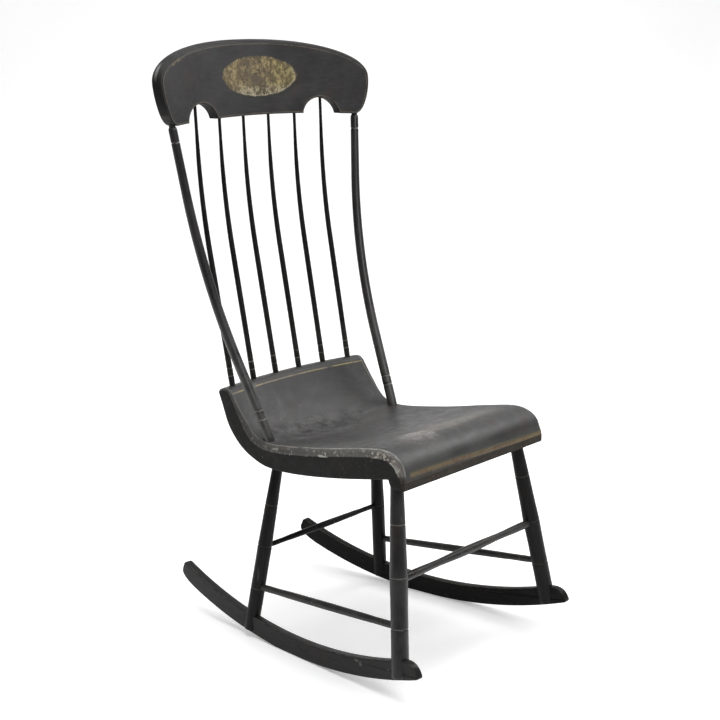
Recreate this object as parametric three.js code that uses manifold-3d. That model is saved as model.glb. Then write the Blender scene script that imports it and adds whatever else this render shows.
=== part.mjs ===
// A boston rocking chair without arms: two rockers, four bamboo-turned legs with four stretchers,
// a rolled seat built up from three pieces, two bent posts, six bent spindles and a curved crest.
// Lengths are in millimetres. The front of the chair faces -Y, +Z is up, and the origin lies on
// the floor, midway between the ends of the rockers. Left is the side towards -X. All lengths from
// front to back are set out from the line on which the rockers touch the floor.

import * as THREE from 'three';
import { mergeVertices } from 'three/addons/utils/BufferGeometryUtils.js';
import Module from 'manifold-3d';

const wasm = await Module();
wasm.setup();

// Overall
const chairHeight = 1046;

// Fits
const clearance = 0.3;
const overrun = 3;

// Rockers: long blades that toe out towards the front
const rockerRadius = 856;
const rockerDepth = 33;
const rockerThickness = 15;
const rockerFrontReach = 299;
const rockerRearReach = 318;
const rockerSpread = 187.5;
const rockerToeAngle = 4.9;
const rockerFlatFrontReach = 22;
const rockerFlatRearReach = 48;
const rockerTailRound = 8;
const rockerTailLift = 15;
const rockerTailLength = 45;
const rockerTipRound = 4;
const rockerNoseLength = 38;
const rockerEdgeRound = 1.5;

// Seat: a plank with a high roll glued on behind and a low strip glued under its front edge
const seatFrontReach = 246;
const seatDepth = 438;
const seatBase = 324;
const seatRise = 124.6;
const seatFrontHalfWidth = 193.7;
const seatRearHalfWidth = 178;
const seatSideRound = 12;
const seatEndRound = 3;
const seatRearBow = 18;
const seatDishDepth = 7;
const stripHeight = 13;
const rollSeamReach = 63;
const rollSeamHeight = 367;
const rollSeamSlope = 0.28;
const stripSeamSlope = 0.22;

// Front legs: they stand on the rockers near their front ends, and enter the seat near its corners
const frontLegRockerInset = 39.5;
const frontLegSeatShare = 0.0913;
const frontLegSeatInset = 29.8;
const frontLegSeatDiameter = 21.5;
const frontLegUpperRingHeight = 284.6;
const frontLegUpperRingDiameter = 25.8;
const frontLegMiddleRingHeight = 200.5;
const frontLegMiddleRingDiameter = 30;
const frontLegLowerRingHeight = 120;
const frontLegLowerRingDiameter = 29.2;
const frontLegFootDiameter = 29.2;

// Rear legs, given in the same way, but their feet stand a rake behind their places in the seat
const rearLegSeatShare = 0.7683;
const rearLegRake = 29.5;
const rearLegSeatInset = 52;
const rearLegSeatDiameter = 18.6;
const rearLegUpperRingHeight = 241;
const rearLegUpperRingDiameter = 22.7;
const rearLegMiddleRingHeight = 166;
const rearLegMiddleRingDiameter = 25.8;
const rearLegLowerRingHeight = 88;
const rearLegLowerRingDiameter = 26;
const rearLegFootDiameter = 25;

// All legs
const legFootRise = 3;
const legTenonDepth = 21;
const legTenonTaper = 3;
const ringWidth = 3;
const ringDepth = 0.9;
const legPegDiameter = 5.5;

// Stretchers
const stretcherTenonDiameter = 9;
const stretcherTenonDepth = 9;
const frontStretcherHeight = 197;
const frontStretcherEndDiameter = 14;
const frontStretcherNeckDiameter = 11.8;
const frontStretcherMiddleDiameter = 14.8;
const rearStretcherHeight = 164.3;
const rearStretcherTenonDiameter = 7;
const rearStretcherEndDiameter = 9.2;
const rearStretcherNeckDiameter = 10.5;
const rearStretcherMiddleDiameter = 11.6;
const sideStretcherFrontHeight = 122.6;
const sideStretcherRearHeight = 91.1;
const sideStretcherEndDiameter = 12.1;
const sideStretcherNeckDiameter = 12.9;
const sideStretcherMiddleDiameter = 13.4;

// Posts: straight and leaning at the seat, bent upright above, splayed sideways all the way
const postSeatInset = 16.8;
const postSeatShare = 0.7374;
const postCrestInset = 34;
const postUpperLean = 0.128;
const postBendShare = 0.417;
const postBendReach = 158;
const postShoulderDrop = 2;
const postSeatTenonDepth = 26;
const postSeatTenonDiameter = 13;
const postLowerDiameter = 17.8;
const postMiddleDiameter = 17;
const postUpperDiameter = 15;
const postLowerRingRise = 35;
const postRingSpacing = 15;
const postUpperRingDrop = 26;
const postCrestTenonDiameter = 11;
const postCrestTenonDepth = 34;

// Crest: a slab bent to an arc in plan, with rounded ends and an arch cut over each outer spindle
const crestHalfLength = 266.5;
const crestFootArch = 7;
const crestHeight = 141;
const crestEndHeight = 69.4;
const crestEndReach = 37.5;
const crestEndAngles = [86, 74, 58, 40, 20];
const crestEndFullness = 1.82;
const crestTopFullness = 2.175;
const crestThickness = 21;
const crestBowRadius = 822;
const crestBackReach = 264.5;
const crestTopRound = 6;
const crestFootRound = 3;
const notchInset = 114.5;
const notchHalfWidth = 41.5;
const notchHeight = 33;
const crestPegDiameter = 4;
const crestPegLength = 17;

// Spindles: three on each side of the middle, bent like the posts but less
const spindleCount = 6;
const spindleSeatPitch = 61.4;
const spindleNotchInset = 7.5;
const spindleSeatSetBack = 15.7;
const spindleUpperLean = 0.05;
const spindleBendShare = 0.7;
const spindleBendReach = 94;
const spindleRollTenonDepth = 20;
const spindleCrestTenonDepth = 16;
const spindleTenonDiameter = 5.4;
const spindleNeckDiameter = 5.5;
const spindleUpperDiameter = 7.5;
const spindleBodyDiameter = 9.4;
const spindleBaseDiameter = 10.4;
const spindleRingRise = 16;
const spindleRingSpacing = 14;

// Fineness of the round stretches
const legSides = 14;
const postSides = 12;
const spindleSides = 8;
const stretcherSides = 12;
const pegSides = 10;
const rockerArcSteps = 8;
const notchArcSteps = 10;
const slotArcSteps = 4;
const seatRoundSteps = 3;
const bendSteps = 8;
const seatTopSamples = 20;
const seatUnderSamples = 15;
const seatStations = 12;
const crestStations = 14;

// The back stands between the top of the seat's roll and the foot of the crest
const rollTopHeight = seatBase + seatRise;
const crestFootHeight = chairHeight - crestHeight;
const postShoulderHeight = crestFootHeight - postShoulderDrop;

const up = new THREE.Vector3(0, 1, 0);
const sides = { left: -1, right: 1 };
const sinOf = (degrees) => Math.sin(THREE.MathUtils.degToRad(degrees));
const cosOf = (degrees) => Math.cos(THREE.MathUtils.degToRad(degrees));
const { lerp, smoothstep } = THREE.MathUtils;

// A closed mesh as a solid that can be joined and cut
function toSolid(geometry) {
  const bare = new THREE.BufferGeometry();
  bare.setAttribute('position', geometry.getAttribute('position'));
  if (geometry.index) {
    bare.setIndex(geometry.index);
  }
  const merged = mergeVertices(bare);
  const corners = merged.index.array;
  const triangles = [];
  for (let i = 0; i < corners.length; i += 3) {
    const [a, b, c] = [corners[i], corners[i + 1], corners[i + 2]];
    if (a !== b && b !== c && c !== a) {
      triangles.push(a, b, c);
    }
  }
  const vertProperties = Float32Array.from(merged.getAttribute('position').array);
  const triVerts = Uint32Array.from(triangles);
  return new wasm.Manifold(new wasm.Mesh({ numProp: 3, vertProperties, triVerts }));
}

function toGeometry(solid) {
  const mesh = solid.getMesh();
  const geometry = new THREE.BufferGeometry();
  geometry.setAttribute('position', new THREE.BufferAttribute(Float32Array.from(mesh.vertProperties), 3));
  geometry.setIndex(new THREE.BufferAttribute(Uint32Array.from(mesh.triVerts), 1));
  geometry.computeVertexNormals();
  return geometry;
}

function cutFrom(solid, tools) {
  return tools.reduce((rest, tool) => rest.subtract(tool), solid);
}

// A skin over rings of points, closed at both ends by flat caps
function loft(rings, flatten) {
  const count = rings[0].length;
  const positions = rings.flat().flatMap((point) => point.toArray());
  const triangles = [];
  for (let i = 0; i + 1 < rings.length; i += 1) {
    for (let j = 0; j < count; j += 1) {
      const next = (j + 1) % count;
      const [a, b] = [i * count + j, i * count + next];
      triangles.push(a, a + count, b, b, a + count, b + count);
    }
  }
  const firstCap = THREE.ShapeUtils.triangulateShape(rings[0].map(flatten), []);
  const lastCap = THREE.ShapeUtils.triangulateShape(rings.at(-1).map(flatten), []);
  const lastStart = (rings.length - 1) * count;
  firstCap.forEach(([a, b, c]) => triangles.push(a, c, b));
  lastCap.forEach(([a, b, c]) => triangles.push(lastStart + a, lastStart + b, lastStart + c));
  const geometry = new THREE.BufferGeometry();
  geometry.setAttribute('position', new THREE.Float32BufferAttribute(positions, 3));
  geometry.setIndex(triangles);
  return geometry;
}

// A turning along +Y from [height, radius] pairs, grown all round by a margin
function turn(profile, sideCount, margin = 0) {
  const [low, high] = [profile[0][0], profile.at(-1)[0]];
  const grown = profile.map(([height, radius]) => {
    const end = height === low ? -margin : height === high ? margin : 0;
    return new THREE.Vector2(radius + margin, height + end);
  });
  const outline = [new THREE.Vector2(0, low - margin), ...grown, new THREE.Vector2(0, high + margin)];
  return new THREE.LatheGeometry(outline, sideCount);
}

// A shallow ring cut round a turning
function ring(height, radius, width = ringWidth) {
  return [
    [height - width / 2, radius],
    [height, radius - ringDepth],
    [height + width / 2, radius],
  ];
}

// The frame whose +Y runs from one point to another
function frameAlong(from, to) {
  const direction = to.clone().sub(from).normalize();
  const turnOf = new THREE.Quaternion().setFromUnitVectors(up, direction);
  return new THREE.Matrix4().compose(from, turnOf, new THREE.Vector3(1, 1, 1));
}

// Carries a turning's axis onto a bent line, which lies in a plane that stands up from front to back
function bendAlong(geometry, curve, start) {
  const length = curve.getLength();
  const positions = geometry.getAttribute('position');
  for (let i = 0; i < positions.count; i += 1) {
    const share = (positions.getY(i) - start) / length;
    const within = THREE.MathUtils.clamp(share, 0, 1);
    const tangent = curve.getTangentAt(within);
    const across = new THREE.Vector3(1, 0, 0).addScaledVector(tangent, -tangent.x).normalize();
    const behind = across.clone().cross(tangent);
    const point = curve.getPointAt(within).addScaledVector(tangent, (share - within) * length);
    point.addScaledVector(across, positions.getX(i)).addScaledVector(behind, positions.getZ(i));
    positions.setXYZ(i, point.x, point.y, point.z);
  }
  return geometry;
}

// A straight line, a bend and a straight line through three points, with the bend's reach on each side
function bentLine(low, corner, high, reach) {
  const before = corner.clone().lerp(low, reach / corner.distanceTo(low));
  const after = corner.clone().lerp(high, reach / corner.distanceTo(high));
  const path = new THREE.CurvePath();
  path.add(new THREE.LineCurve3(low, before));
  path.add(new THREE.QuadraticBezierCurve3(before, corner, after));
  path.add(new THREE.LineCurve3(after, high));
  path.arcLengthDivisions = 400;
  return path;
}

// The seat's lines from front to back

// The upper line of the seat from the front lip over the crown and the hollow to the top of the roll,
// as shares of the seat's depth and rise
const seatTopShares = [
  [0, 0.3],
  [0.011, 0.518],
  [0.055, 0.646],
  [0.128, 0.682],
  [0.27, 0.599],
  [0.475, 0.46],
  [0.7, 0.356],
  [0.8, 0.424],
  [0.876, 0.685],
  [0.93, 0.946],
];
// The rounded top of the roll, and the lower line from there down and forward to the strip
const rollTopShares = [
  [0.945, 0.985],
  [0.967, 0.99],
  [0.99, 0.965],
];
const seatUnderShares = [
  [1, 0.92],
  [0.979, 0.749],
  [0.94, 0.449],
  [0.87, 0.197],
  [0.78, 0.049],
  [0.695, 0],
  [0.548, 0.025],
  [0.3326, 0.134],
  [0.078, 0.311],
];

function seatPoint([depthShare, riseShare]) {
  return new THREE.Vector2(reachAt(depthShare), seatBase + seatRise * riseShare);
}

function throughPoints(shares, samples) {
  return new THREE.SplineCurve(shares.map(seatPoint)).getSpacedPoints(samples);
}

// The reach of a place in the seat's depth, and the share of the depth at which a reach lies
function reachAt(depthShare) {
  return seatDepth * depthShare - seatFrontReach;
}

function depthShareOf(reach) {
  return (reach + seatFrontReach) / seatDepth;
}

function seatHalfWidth(y) {
  return lerp(seatFrontHalfWidth, seatRearHalfWidth, depthShareOf(y));
}

const seatTopLine = throughPoints(seatTopShares, seatTopSamples);
const seatUnderLine = throughPoints(seatUnderShares, seatUnderSamples);
const stripTop = seatUnderLine.at(-1);
const stripWidth = stripTop.x + seatFrontReach;
const stripLine = [
  new THREE.Vector2(stripTop.x - stripWidth * 0.05, stripTop.y - stripHeight * 0.5),
  new THREE.Vector2(stripTop.x - stripWidth * 0.35, stripTop.y - stripHeight),
];
const stripFront = new THREE.Vector2(-seatFrontReach, stripTop.y - stripHeight);

// The height of one of the seat's lines at a distance behind the floor contact
function heightOf(line, y) {
  const i = line.findIndex((point, k) => k > 0 && (line[k - 1].x - y) * (point.x - y) <= 0);
  const [before, after] = [line[i - 1], line[i]];
  return THREE.MathUtils.mapLinear(y, before.x, after.x, before.y, after.y);
}

// Rockers

const rockerCentreHeight = Math.sqrt(rockerRadius ** 2 - rockerFlatFrontReach ** 2);
const rockerTopRadius = rockerRadius - rockerDepth;
const rockerFrontAngle = Math.asin(rockerFrontReach / rockerRadius);
const rockerRearAngle = Math.asin(rockerRearReach / rockerRadius);

function onRocker(angle, radius) {
  return new THREE.Vector2(radius * Math.sin(angle), rockerCentreHeight - radius * Math.cos(angle));
}

function rockerOutline() {
  const flatStart = -Math.asin(rockerFlatFrontReach / rockerRadius);
  const flatSlant = Math.hypot(rockerFlatRearReach, rockerCentreHeight);
  const easing = Math.atan(rockerFlatRearReach / rockerCentreHeight) + Math.acos(rockerRadius / flatSlant);
  const tail = rockerRearAngle - rockerTailRound / rockerTopRadius;
  const tailFoot = rockerRearAngle - rockerTailLength / rockerRadius;
  const tip = rockerFrontAngle - rockerTipRound / rockerRadius;
  const nose = rockerFrontAngle - rockerNoseLength / rockerTopRadius;
  const down = -Math.PI / 2;
  const start = onRocker(flatStart, rockerRadius);
  const shape = new THREE.Shape();
  const lineTo = (end) => shape.lineTo(end.x, end.y);
  const curveTo = (corner, end) => shape.quadraticCurveTo(corner.x, corner.y, end.x, end.y);
  const rearEnd = (radius) => onRocker(rockerRearAngle, radius);
  const frontEnd = (radius) => onRocker(-rockerFrontAngle, radius);
  shape.moveTo(start.x, start.y);
  shape.lineTo(rockerFlatRearReach, start.y);
  lineTo(onRocker(easing, rockerRadius));
  shape.absarc(0, rockerCentreHeight, rockerRadius, down + easing, down + tailFoot, false);
  curveTo(rearEnd(rockerRadius), rearEnd(rockerRadius - rockerTailLift));
  lineTo(rearEnd(rockerTopRadius + rockerTailRound));
  curveTo(rearEnd(rockerTopRadius), onRocker(tail, rockerTopRadius));
  shape.absarc(0, rockerCentreHeight, rockerTopRadius, down + tail, down - nose, true);
  curveTo(frontEnd(rockerTopRadius), frontEnd(rockerRadius - rockerTipRound));
  curveTo(frontEnd(rockerRadius), onRocker(-tip, rockerRadius));
  shape.absarc(0, rockerCentreHeight, rockerRadius, down - tip, down + flatStart, false);
  return shape;
}

// The frame of a rocker: its outline's x runs to the rear, its y up, and its z to the right
function rockerFrame(side) {
  const toe = new THREE.Matrix4().makeRotationZ(THREE.MathUtils.degToRad(side * rockerToeAngle));
  const stand = new THREE.Matrix4().makeBasis(
    new THREE.Vector3(0, 1, 0),
    new THREE.Vector3(0, 0, 1),
    new THREE.Vector3(1, 0, 0),
  );
  return new THREE.Matrix4().makeTranslation(side * rockerSpread, 0, 0).multiply(toe).multiply(stand);
}

function rockerBlank(side) {
  const flat = rockerThickness - 2 * rockerEdgeRound;
  const geometry = new THREE.ExtrudeGeometry(rockerOutline(), {
    depth: flat,
    curveSegments: rockerArcSteps,
    bevelThickness: rockerEdgeRound,
    bevelSize: rockerEdgeRound,
    bevelOffset: -rockerEdgeRound,
    bevelSegments: 1,
  });
  return toSolid(geometry.translate(0, 0, -flat / 2).applyMatrix4(rockerFrame(side)));
}

// The slot that a leg's foot needs to stand astride the rocker
function rockerSlot(side, reach, width) {
  const half = Math.atan(width / rockerRadius);
  const centre = Math.asin(reach / rockerRadius);
  const down = centre - Math.PI / 2;
  const shape = new THREE.Shape();
  shape.absarc(0, rockerCentreHeight, rockerRadius + rockerDepth, down - half, down + half, false);
  shape.absarc(0, rockerCentreHeight, rockerTopRadius - clearance, down + half, down - half, true);
  const depth = rockerThickness + 2 * clearance;
  const options = { depth, curveSegments: slotArcSteps, bevelEnabled: false };
  const geometry = new THREE.ExtrudeGeometry(shape, options).translate(0, 0, -depth / 2);
  return toSolid(geometry.applyMatrix4(rockerFrame(side)));
}

// Legs

const legs = {
  front: {
    rockerReach: frontLegRockerInset - rockerFrontReach,
    seatReach: reachAt(frontLegSeatShare),
    seatInset: frontLegSeatInset,
    seatDiameter: frontLegSeatDiameter,
    footDiameter: frontLegFootDiameter,
    rings: [
      [frontLegLowerRingHeight, frontLegLowerRingDiameter],
      [frontLegMiddleRingHeight, frontLegMiddleRingDiameter],
      [frontLegUpperRingHeight, frontLegUpperRingDiameter],
    ],
  },
  rear: {
    rockerReach: reachAt(rearLegSeatShare) + rearLegRake,
    seatReach: reachAt(rearLegSeatShare),
    seatInset: rearLegSeatInset,
    seatDiameter: rearLegSeatDiameter,
    footDiameter: rearLegFootDiameter,
    rings: [
      [rearLegLowerRingHeight, rearLegLowerRingDiameter],
      [rearLegMiddleRingHeight, rearLegMiddleRingDiameter],
      [rearLegUpperRingHeight, rearLegUpperRingDiameter],
    ],
  },
};

// A point within the depth of a rocker's blade, at a distance along it
function rockerPoint(side, reach, radius) {
  const place = onRocker(Math.asin(reach / rockerRadius), radius);
  return new THREE.Vector3(place.x, place.y, 0).applyMatrix4(rockerFrame(side));
}

// The point on a leg's axis at a height, on the line from the middle of the blade to the seat
function legPoint(leg, side, height) {
  const low = rockerPoint(side, leg.rockerReach, rockerRadius - rockerDepth / 2);
  const seatX = side * (seatHalfWidth(leg.seatReach) - leg.seatInset);
  const high = new THREE.Vector3(seatX, leg.seatReach, heightOf(seatUnderLine, leg.seatReach));
  return low.lerp(high, (height - low.z) / (high.z - low.z));
}

function legFoot(leg) {
  return rockerPoint(sides.left, leg.rockerReach, rockerRadius).z + legFootRise;
}

function legTop(leg) {
  return heightOf(seatUnderLine, leg.seatReach) + legTenonDepth;
}

function legFrame(leg, side) {
  return frameAlong(legPoint(leg, side, legFoot(leg)), legPoint(leg, side, legTop(leg)));
}

function legBlank(leg, side, margin = 0) {
  const foot = legPoint(leg, side, legFoot(leg));
  const along = (height) => legPoint(leg, side, height).distanceTo(foot);
  const length = along(legTop(leg));
  const shoulder = length - legTenonDepth;
  const seatRadius = leg.seatDiameter / 2;
  const waistShare = 0.45;
  const waistShrink = 0.985;
  const profile = [[0, leg.footDiameter / 2]];
  leg.rings.forEach(([height, diameter], i) => {
    const [nextHeight, nextDiameter] = leg.rings[i + 1] ?? [legTop(leg) - legTenonDepth, leg.seatDiameter];
    const waist = lerp(along(height), along(nextHeight), waistShare);
    profile.push(...ring(along(height), diameter / 2));
    profile.push([waist, (lerp(diameter, nextDiameter, waistShare) / 2) * waistShrink]);
  });
  profile.push([shoulder, seatRadius], [length, seatRadius - legTenonTaper / 2]);
  return toSolid(turn(profile, legSides, margin).applyMatrix4(legFrame(leg, side)));
}

// The wooden peg that holds a leg's foot to the rocker, square to the rocker's blade
function legPeg(leg, side, margin = 0) {
  const middle = onRocker(Math.asin(leg.rockerReach / rockerRadius), rockerRadius - rockerDepth / 2);
  const length = leg.footDiameter - 2 * clearance + 2 * margin;
  const radius = legPegDiameter / 2 + margin;
  const geometry = new THREE.CylinderGeometry(radius, radius, length, pegSides);
  geometry.rotateX(Math.PI / 2).translate(middle.x, middle.y, 0);
  return toSolid(geometry.applyMatrix4(rockerFrame(side)));
}

// Stretchers

function stretcherBlank(from, to, [tenon, end, neck, middle], margin = 0) {
  const length = from.distanceTo(to);
  const endRingShare = 0.07;
  const neckShare = 0.26;
  const swellRingShare = 0.42;
  const half = [
    [0, tenon / 2],
    [stretcherTenonDepth, tenon / 2],
    [stretcherTenonDepth, end / 2],
    ...ring(stretcherTenonDepth + length * endRingShare, end / 2, ringWidth / 2),
    [length * neckShare, neck / 2],
    ...ring(length * swellRingShare, middle / 2, ringWidth / 2),
  ];
  const otherHalf = half.map(([height, radius]) => [length - height, radius]).reverse();
  const profile = [...half, [length / 2, middle / 2], ...otherHalf];
  return toSolid(turn(profile, stretcherSides, margin).applyMatrix4(frameAlong(from, to)));
}

// The two ends of a stretcher lie inside the legs, a tenon's depth past their faces
function stretcherEnds(start, end, startRadius, endRadius) {
  const direction = end.clone().sub(start).normalize();
  const from = start.clone().addScaledVector(direction, startRadius - stretcherTenonDepth);
  const to = end.clone().addScaledVector(direction, stretcherTenonDepth - endRadius);
  return [from, to];
}

const stretchers = {
  front_stretcher: {
    ends: stretcherEnds(
      legPoint(legs.front, sides.left, frontStretcherHeight),
      legPoint(legs.front, sides.right, frontStretcherHeight),
      frontLegMiddleRingDiameter / 2,
      frontLegMiddleRingDiameter / 2,
    ),
    diameters: [
      stretcherTenonDiameter,
      frontStretcherEndDiameter,
      frontStretcherNeckDiameter,
      frontStretcherMiddleDiameter,
    ],
  },
  rear_stretcher: {
    ends: stretcherEnds(
      legPoint(legs.rear, sides.left, rearStretcherHeight),
      legPoint(legs.rear, sides.right, rearStretcherHeight),
      rearLegMiddleRingDiameter / 2,
      rearLegMiddleRingDiameter / 2,
    ),
    diameters: [
      rearStretcherTenonDiameter,
      rearStretcherEndDiameter,
      rearStretcherNeckDiameter,
      rearStretcherMiddleDiameter,
    ],
  },
};
for (const [name, side] of Object.entries(sides)) {
  stretchers[`side_stretcher_${name}`] = {
    ends: stretcherEnds(
      legPoint(legs.front, side, sideStretcherFrontHeight),
      legPoint(legs.rear, side, sideStretcherRearHeight),
      frontLegLowerRingDiameter / 2,
      rearLegLowerRingDiameter / 2,
    ),
    diameters: [
      stretcherTenonDiameter,
      sideStretcherEndDiameter,
      sideStretcherNeckDiameter,
      sideStretcherMiddleDiameter,
    ],
  };
}

function stretcherSolid(stretcher, margin = 0) {
  return stretcherBlank(...stretcher.ends, stretcher.diameters, margin);
}

// Seat

// How much of the dish and of the rear bow each point of the section takes, by its place in depth
function dishShare(y) {
  const share = depthShareOf(y);
  return smoothstep(share, 0.1, 0.45) * (1 - smoothstep(share, 0.75, 0.93));
}

function bowShare(y) {
  return smoothstep(depthShareOf(y), 0.5, 0.88);
}

// The round on the ends of the seat, broad along the seat's rim and small on the roll and below
function sideRound(y, isTop) {
  const broad = isTop ? 1 - smoothstep(depthShareOf(y), 0.78, 0.92) : 0;
  return lerp(seatEndRound, seatSideRound, broad);
}

// One section of the seat, at a share of the way from the middle to the side
function seatSection(wideShare, roundShare) {
  const sunkShare = 1 - Math.sqrt(1 - roundShare ** 2);
  const topPoints = [...seatTopLine, ...rollTopShares.map(seatPoint)];
  const outline = [stripFront, ...topPoints, ...seatUnderLine, ...stripLine];
  return outline.map((point, i) => {
    const isTop = i > 1 && i <= topPoints.length;
    const round = sideRound(point.x, isTop);
    const along = outline[(i + 1) % outline.length].clone().sub(outline.at(i - 1)).normalize();
    const dish = isTop ? seatDishDepth * dishShare(point.x) * (1 - Math.abs(wideShare) ** 2.4) : 0;
    const y = point.x + along.y * sunkShare * round;
    const z = point.y - along.x * sunkShare * round - dish;
    const x = wideShare * (seatHalfWidth(y) - round) + Math.sign(wideShare) * round * roundShare;
    const bow = seatRearBow * bowShare(y) * (1 - (x / seatRearHalfWidth) ** 2);
    return new THREE.Vector3(x, y + bow, z);
  });
}

function seatBlank() {
  const sections = [];
  for (let i = seatRoundSteps; i > 0; i -= 1) {
    sections.push(seatSection(-1, Math.sin((i / seatRoundSteps) * (Math.PI / 2))));
  }
  for (let i = 0; i <= seatStations; i += 1) {
    sections.push(seatSection((2 * i) / seatStations - 1, 0));
  }
  for (let i = 1; i <= seatRoundSteps; i += 1) {
    sections.push(seatSection(1, Math.sin((i / seatRoundSteps) * (Math.PI / 2))));
  }
  return toSolid(loft(sections, (point) => new THREE.Vector2(point.y, point.z)));
}

// A block that fills everything above or below a plane which tilts from front to back
function halfSpace(reach, height, slope, direction) {
  const size = seatDepth * 2;
  const block = new THREE.BoxGeometry(size, size, size).translate(0, 0, (direction * size) / 2);
  block.rotateX(-Math.atan(slope)).translate(0, reach, height);
  return toSolid(block);
}

// Posts

// A bent piece of the back, from its shoulder at the seat to its shoulder at the crest, with tenons beyond
function backLine(low, high, upperLean, bendShare, bendReach, lowTenon, highTenon) {
  const bendHeight = lerp(rollTopHeight, crestFootHeight, bendShare);
  const share = (bendHeight - low.z) / (high.z - low.z);
  const corner = low.clone().lerp(high, share);
  corner.y = high.y - upperLean * (high.z - bendHeight);
  const foot = low.clone().add(low.clone().sub(corner).setLength(lowTenon));
  const head = high.clone().add(high.clone().sub(corner).setLength(highTenon));
  return bentLine(foot, corner, head, bendReach);
}

const postSeatReach = reachAt(postSeatShare);

function postLine(side) {
  const seatX = side * (seatHalfWidth(postSeatReach) - postSeatInset);
  const low = new THREE.Vector3(seatX, postSeatReach, heightOf(seatTopLine, postSeatReach));
  const high = crestPoint(side * (crestHalfLength - postCrestInset), postShoulderHeight);
  const tenons = [postSeatTenonDepth, postCrestTenonDepth];
  return backLine(low, high, postUpperLean, postBendShare, postBendReach, ...tenons);
}

// The length along a bent line at which it reaches a height
function lengthAtHeight(curve, height) {
  let [low, high] = [0, 1];
  for (let i = 0; i < 30; i += 1) {
    const middle = (low + high) / 2;
    if (curve.getPointAt(middle).z < height) {
      low = middle;
    } else {
      high = middle;
    }
  }
  return curve.getLength() * low;
}

function postBlank(side, margin = 0) {
  const curve = postLine(side);
  const at = (height) => lengthAtHeight(curve, height);
  const length = curve.getLength();
  const shoulder = at(postShoulderHeight);
  const neckRound = (postUpperDiameter - postCrestTenonDiameter) / 2;
  const seatHeight = heightOf(seatTopLine, postSeatReach);
  const lowerRing = seatHeight + postLowerRingRise;
  const upperRing = postShoulderHeight - postUpperRingDrop;
  const [bendStart, bendEnd] = [at(lowerRing + 2 * postRingSpacing), at(upperRing - postRingSpacing)];
  const profile = [
    [0, postSeatTenonDiameter / 2],
    [at(seatHeight), postLowerDiameter / 2 - clearance],
    ...ring(at(lowerRing), postLowerDiameter / 2),
    ...ring(at(lowerRing + postRingSpacing), postLowerDiameter / 2),
  ];
  for (let i = 0; i <= bendSteps; i += 1) {
    const share = i / bendSteps;
    const swell = share < 0.5
      ? lerp(postLowerDiameter, postMiddleDiameter, share * 2)
      : lerp(postMiddleDiameter, postUpperDiameter, share * 2 - 1);
    profile.push([lerp(bendStart, bendEnd, share), swell / 2]);
  }
  profile.push(
    ...ring(at(upperRing), postUpperDiameter / 2),
    [shoulder - 2 * neckRound, postUpperDiameter / 2],
    [shoulder - neckRound / 2, postUpperDiameter / 2 - neckRound / 3],
    [shoulder, postCrestTenonDiameter / 2],
    [length, postCrestTenonDiameter / 2],
  );
  return toSolid(bendAlong(turn(profile, postSides, margin), curve, 0));
}

// Crest

function crestBow(x, offset = 0) {
  const angle = Math.asin(x / crestBowRadius);
  const radius = crestBowRadius + offset;
  const y = crestBackReach + radius * Math.cos(angle) - crestBowRadius;
  return new THREE.Vector2(radius * Math.sin(angle), y);
}

// A point of the crest's middle surface, or off it, which leans back with the top of the posts
function crestPoint(x, height, offset = 0) {
  const place = crestBow(x, offset);
  return new THREE.Vector3(place.x, place.y + (height - crestFootHeight) * postUpperLean, height);
}

// One upright section of the crest: a slab with its top and foot edges rounded
function crestSection(x, foot, top) {
  const half = crestThickness / 2;
  const topRound = Math.min(crestTopRound, (top - foot) / 3);
  const footRound = Math.min(crestFootRound, (top - foot) / 3);
  const corners = [
    [-half, foot + footRound],
    [-half, top - topRound],
    [-half + topRound * 0.3, top - topRound * 0.3],
    [-half + topRound, top],
    [half - topRound, top],
    [half - topRound * 0.3, top - topRound * 0.3],
    [half, top - topRound],
    [half, foot + footRound],
    [half - footRound, foot],
    [-half + footRound, foot],
  ];
  return corners.map(([offset, height]) => crestPoint(x, height, offset));
}

function crestBlank() {
  const flatHalf = crestHalfLength - crestEndReach;
  const shoulderHeight = crestFootHeight + crestEndHeight;
  const topAt = (x) => {
    const rise = crestHeight - crestEndHeight;
    const fallen = Math.abs(x / crestHalfLength) ** crestTopFullness;
    return shoulderHeight + rise * (1 - fallen) ** (1 / crestTopFullness);
  };
  const footAt = (x) => crestFootHeight + crestFootArch * (1 - (x / flatHalf) ** 2);
  const sections = [];
  const fuller = (share) => share ** (2 / crestEndFullness);
  const endSection = (side, angle) => {
    const x = flatHalf + crestEndReach * fuller(sinOf(angle));
    return crestSection(side * x, shoulderHeight - crestEndHeight * fuller(cosOf(angle)), topAt(x));
  };
  crestEndAngles.forEach((angle) => sections.push(endSection(sides.left, angle)));
  for (let i = 0; i <= crestStations; i += 1) {
    const x = lerp(-flatHalf, flatHalf, i / crestStations);
    sections.push(crestSection(x, footAt(x), topAt(x)));
  }
  crestEndAngles.toReversed().forEach((angle) => sections.push(endSection(sides.right, angle)));
  return toSolid(loft(sections, (point) => new THREE.Vector2(point.y, point.z)));
}

// The arch cut out of the crest over an outer spindle
function notch(side) {
  const shape = new THREE.Shape();
  shape.moveTo(-notchHalfWidth, -overrun);
  shape.lineTo(notchHalfWidth, -overrun);
  shape.lineTo(notchHalfWidth, 0);
  shape.absellipse(0, 0, notchHalfWidth, notchHeight, 0, Math.PI, false, 0);
  shape.lineTo(-notchHalfWidth, -overrun);
  const depth = crestThickness * 4;
  const options = { depth, curveSegments: notchArcSteps, bevelEnabled: false };
  const geometry = new THREE.ExtrudeGeometry(shape, options);
  geometry.translate(0, 0, -depth / 2).rotateX(Math.PI / 2);
  const place = crestPoint(side * (crestHalfLength - notchInset), crestFootHeight);
  const facing = Math.asin(place.x / crestBowRadius);
  geometry.rotateZ(-facing).translate(place.x, place.y, place.z);
  return toSolid(geometry);
}

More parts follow.
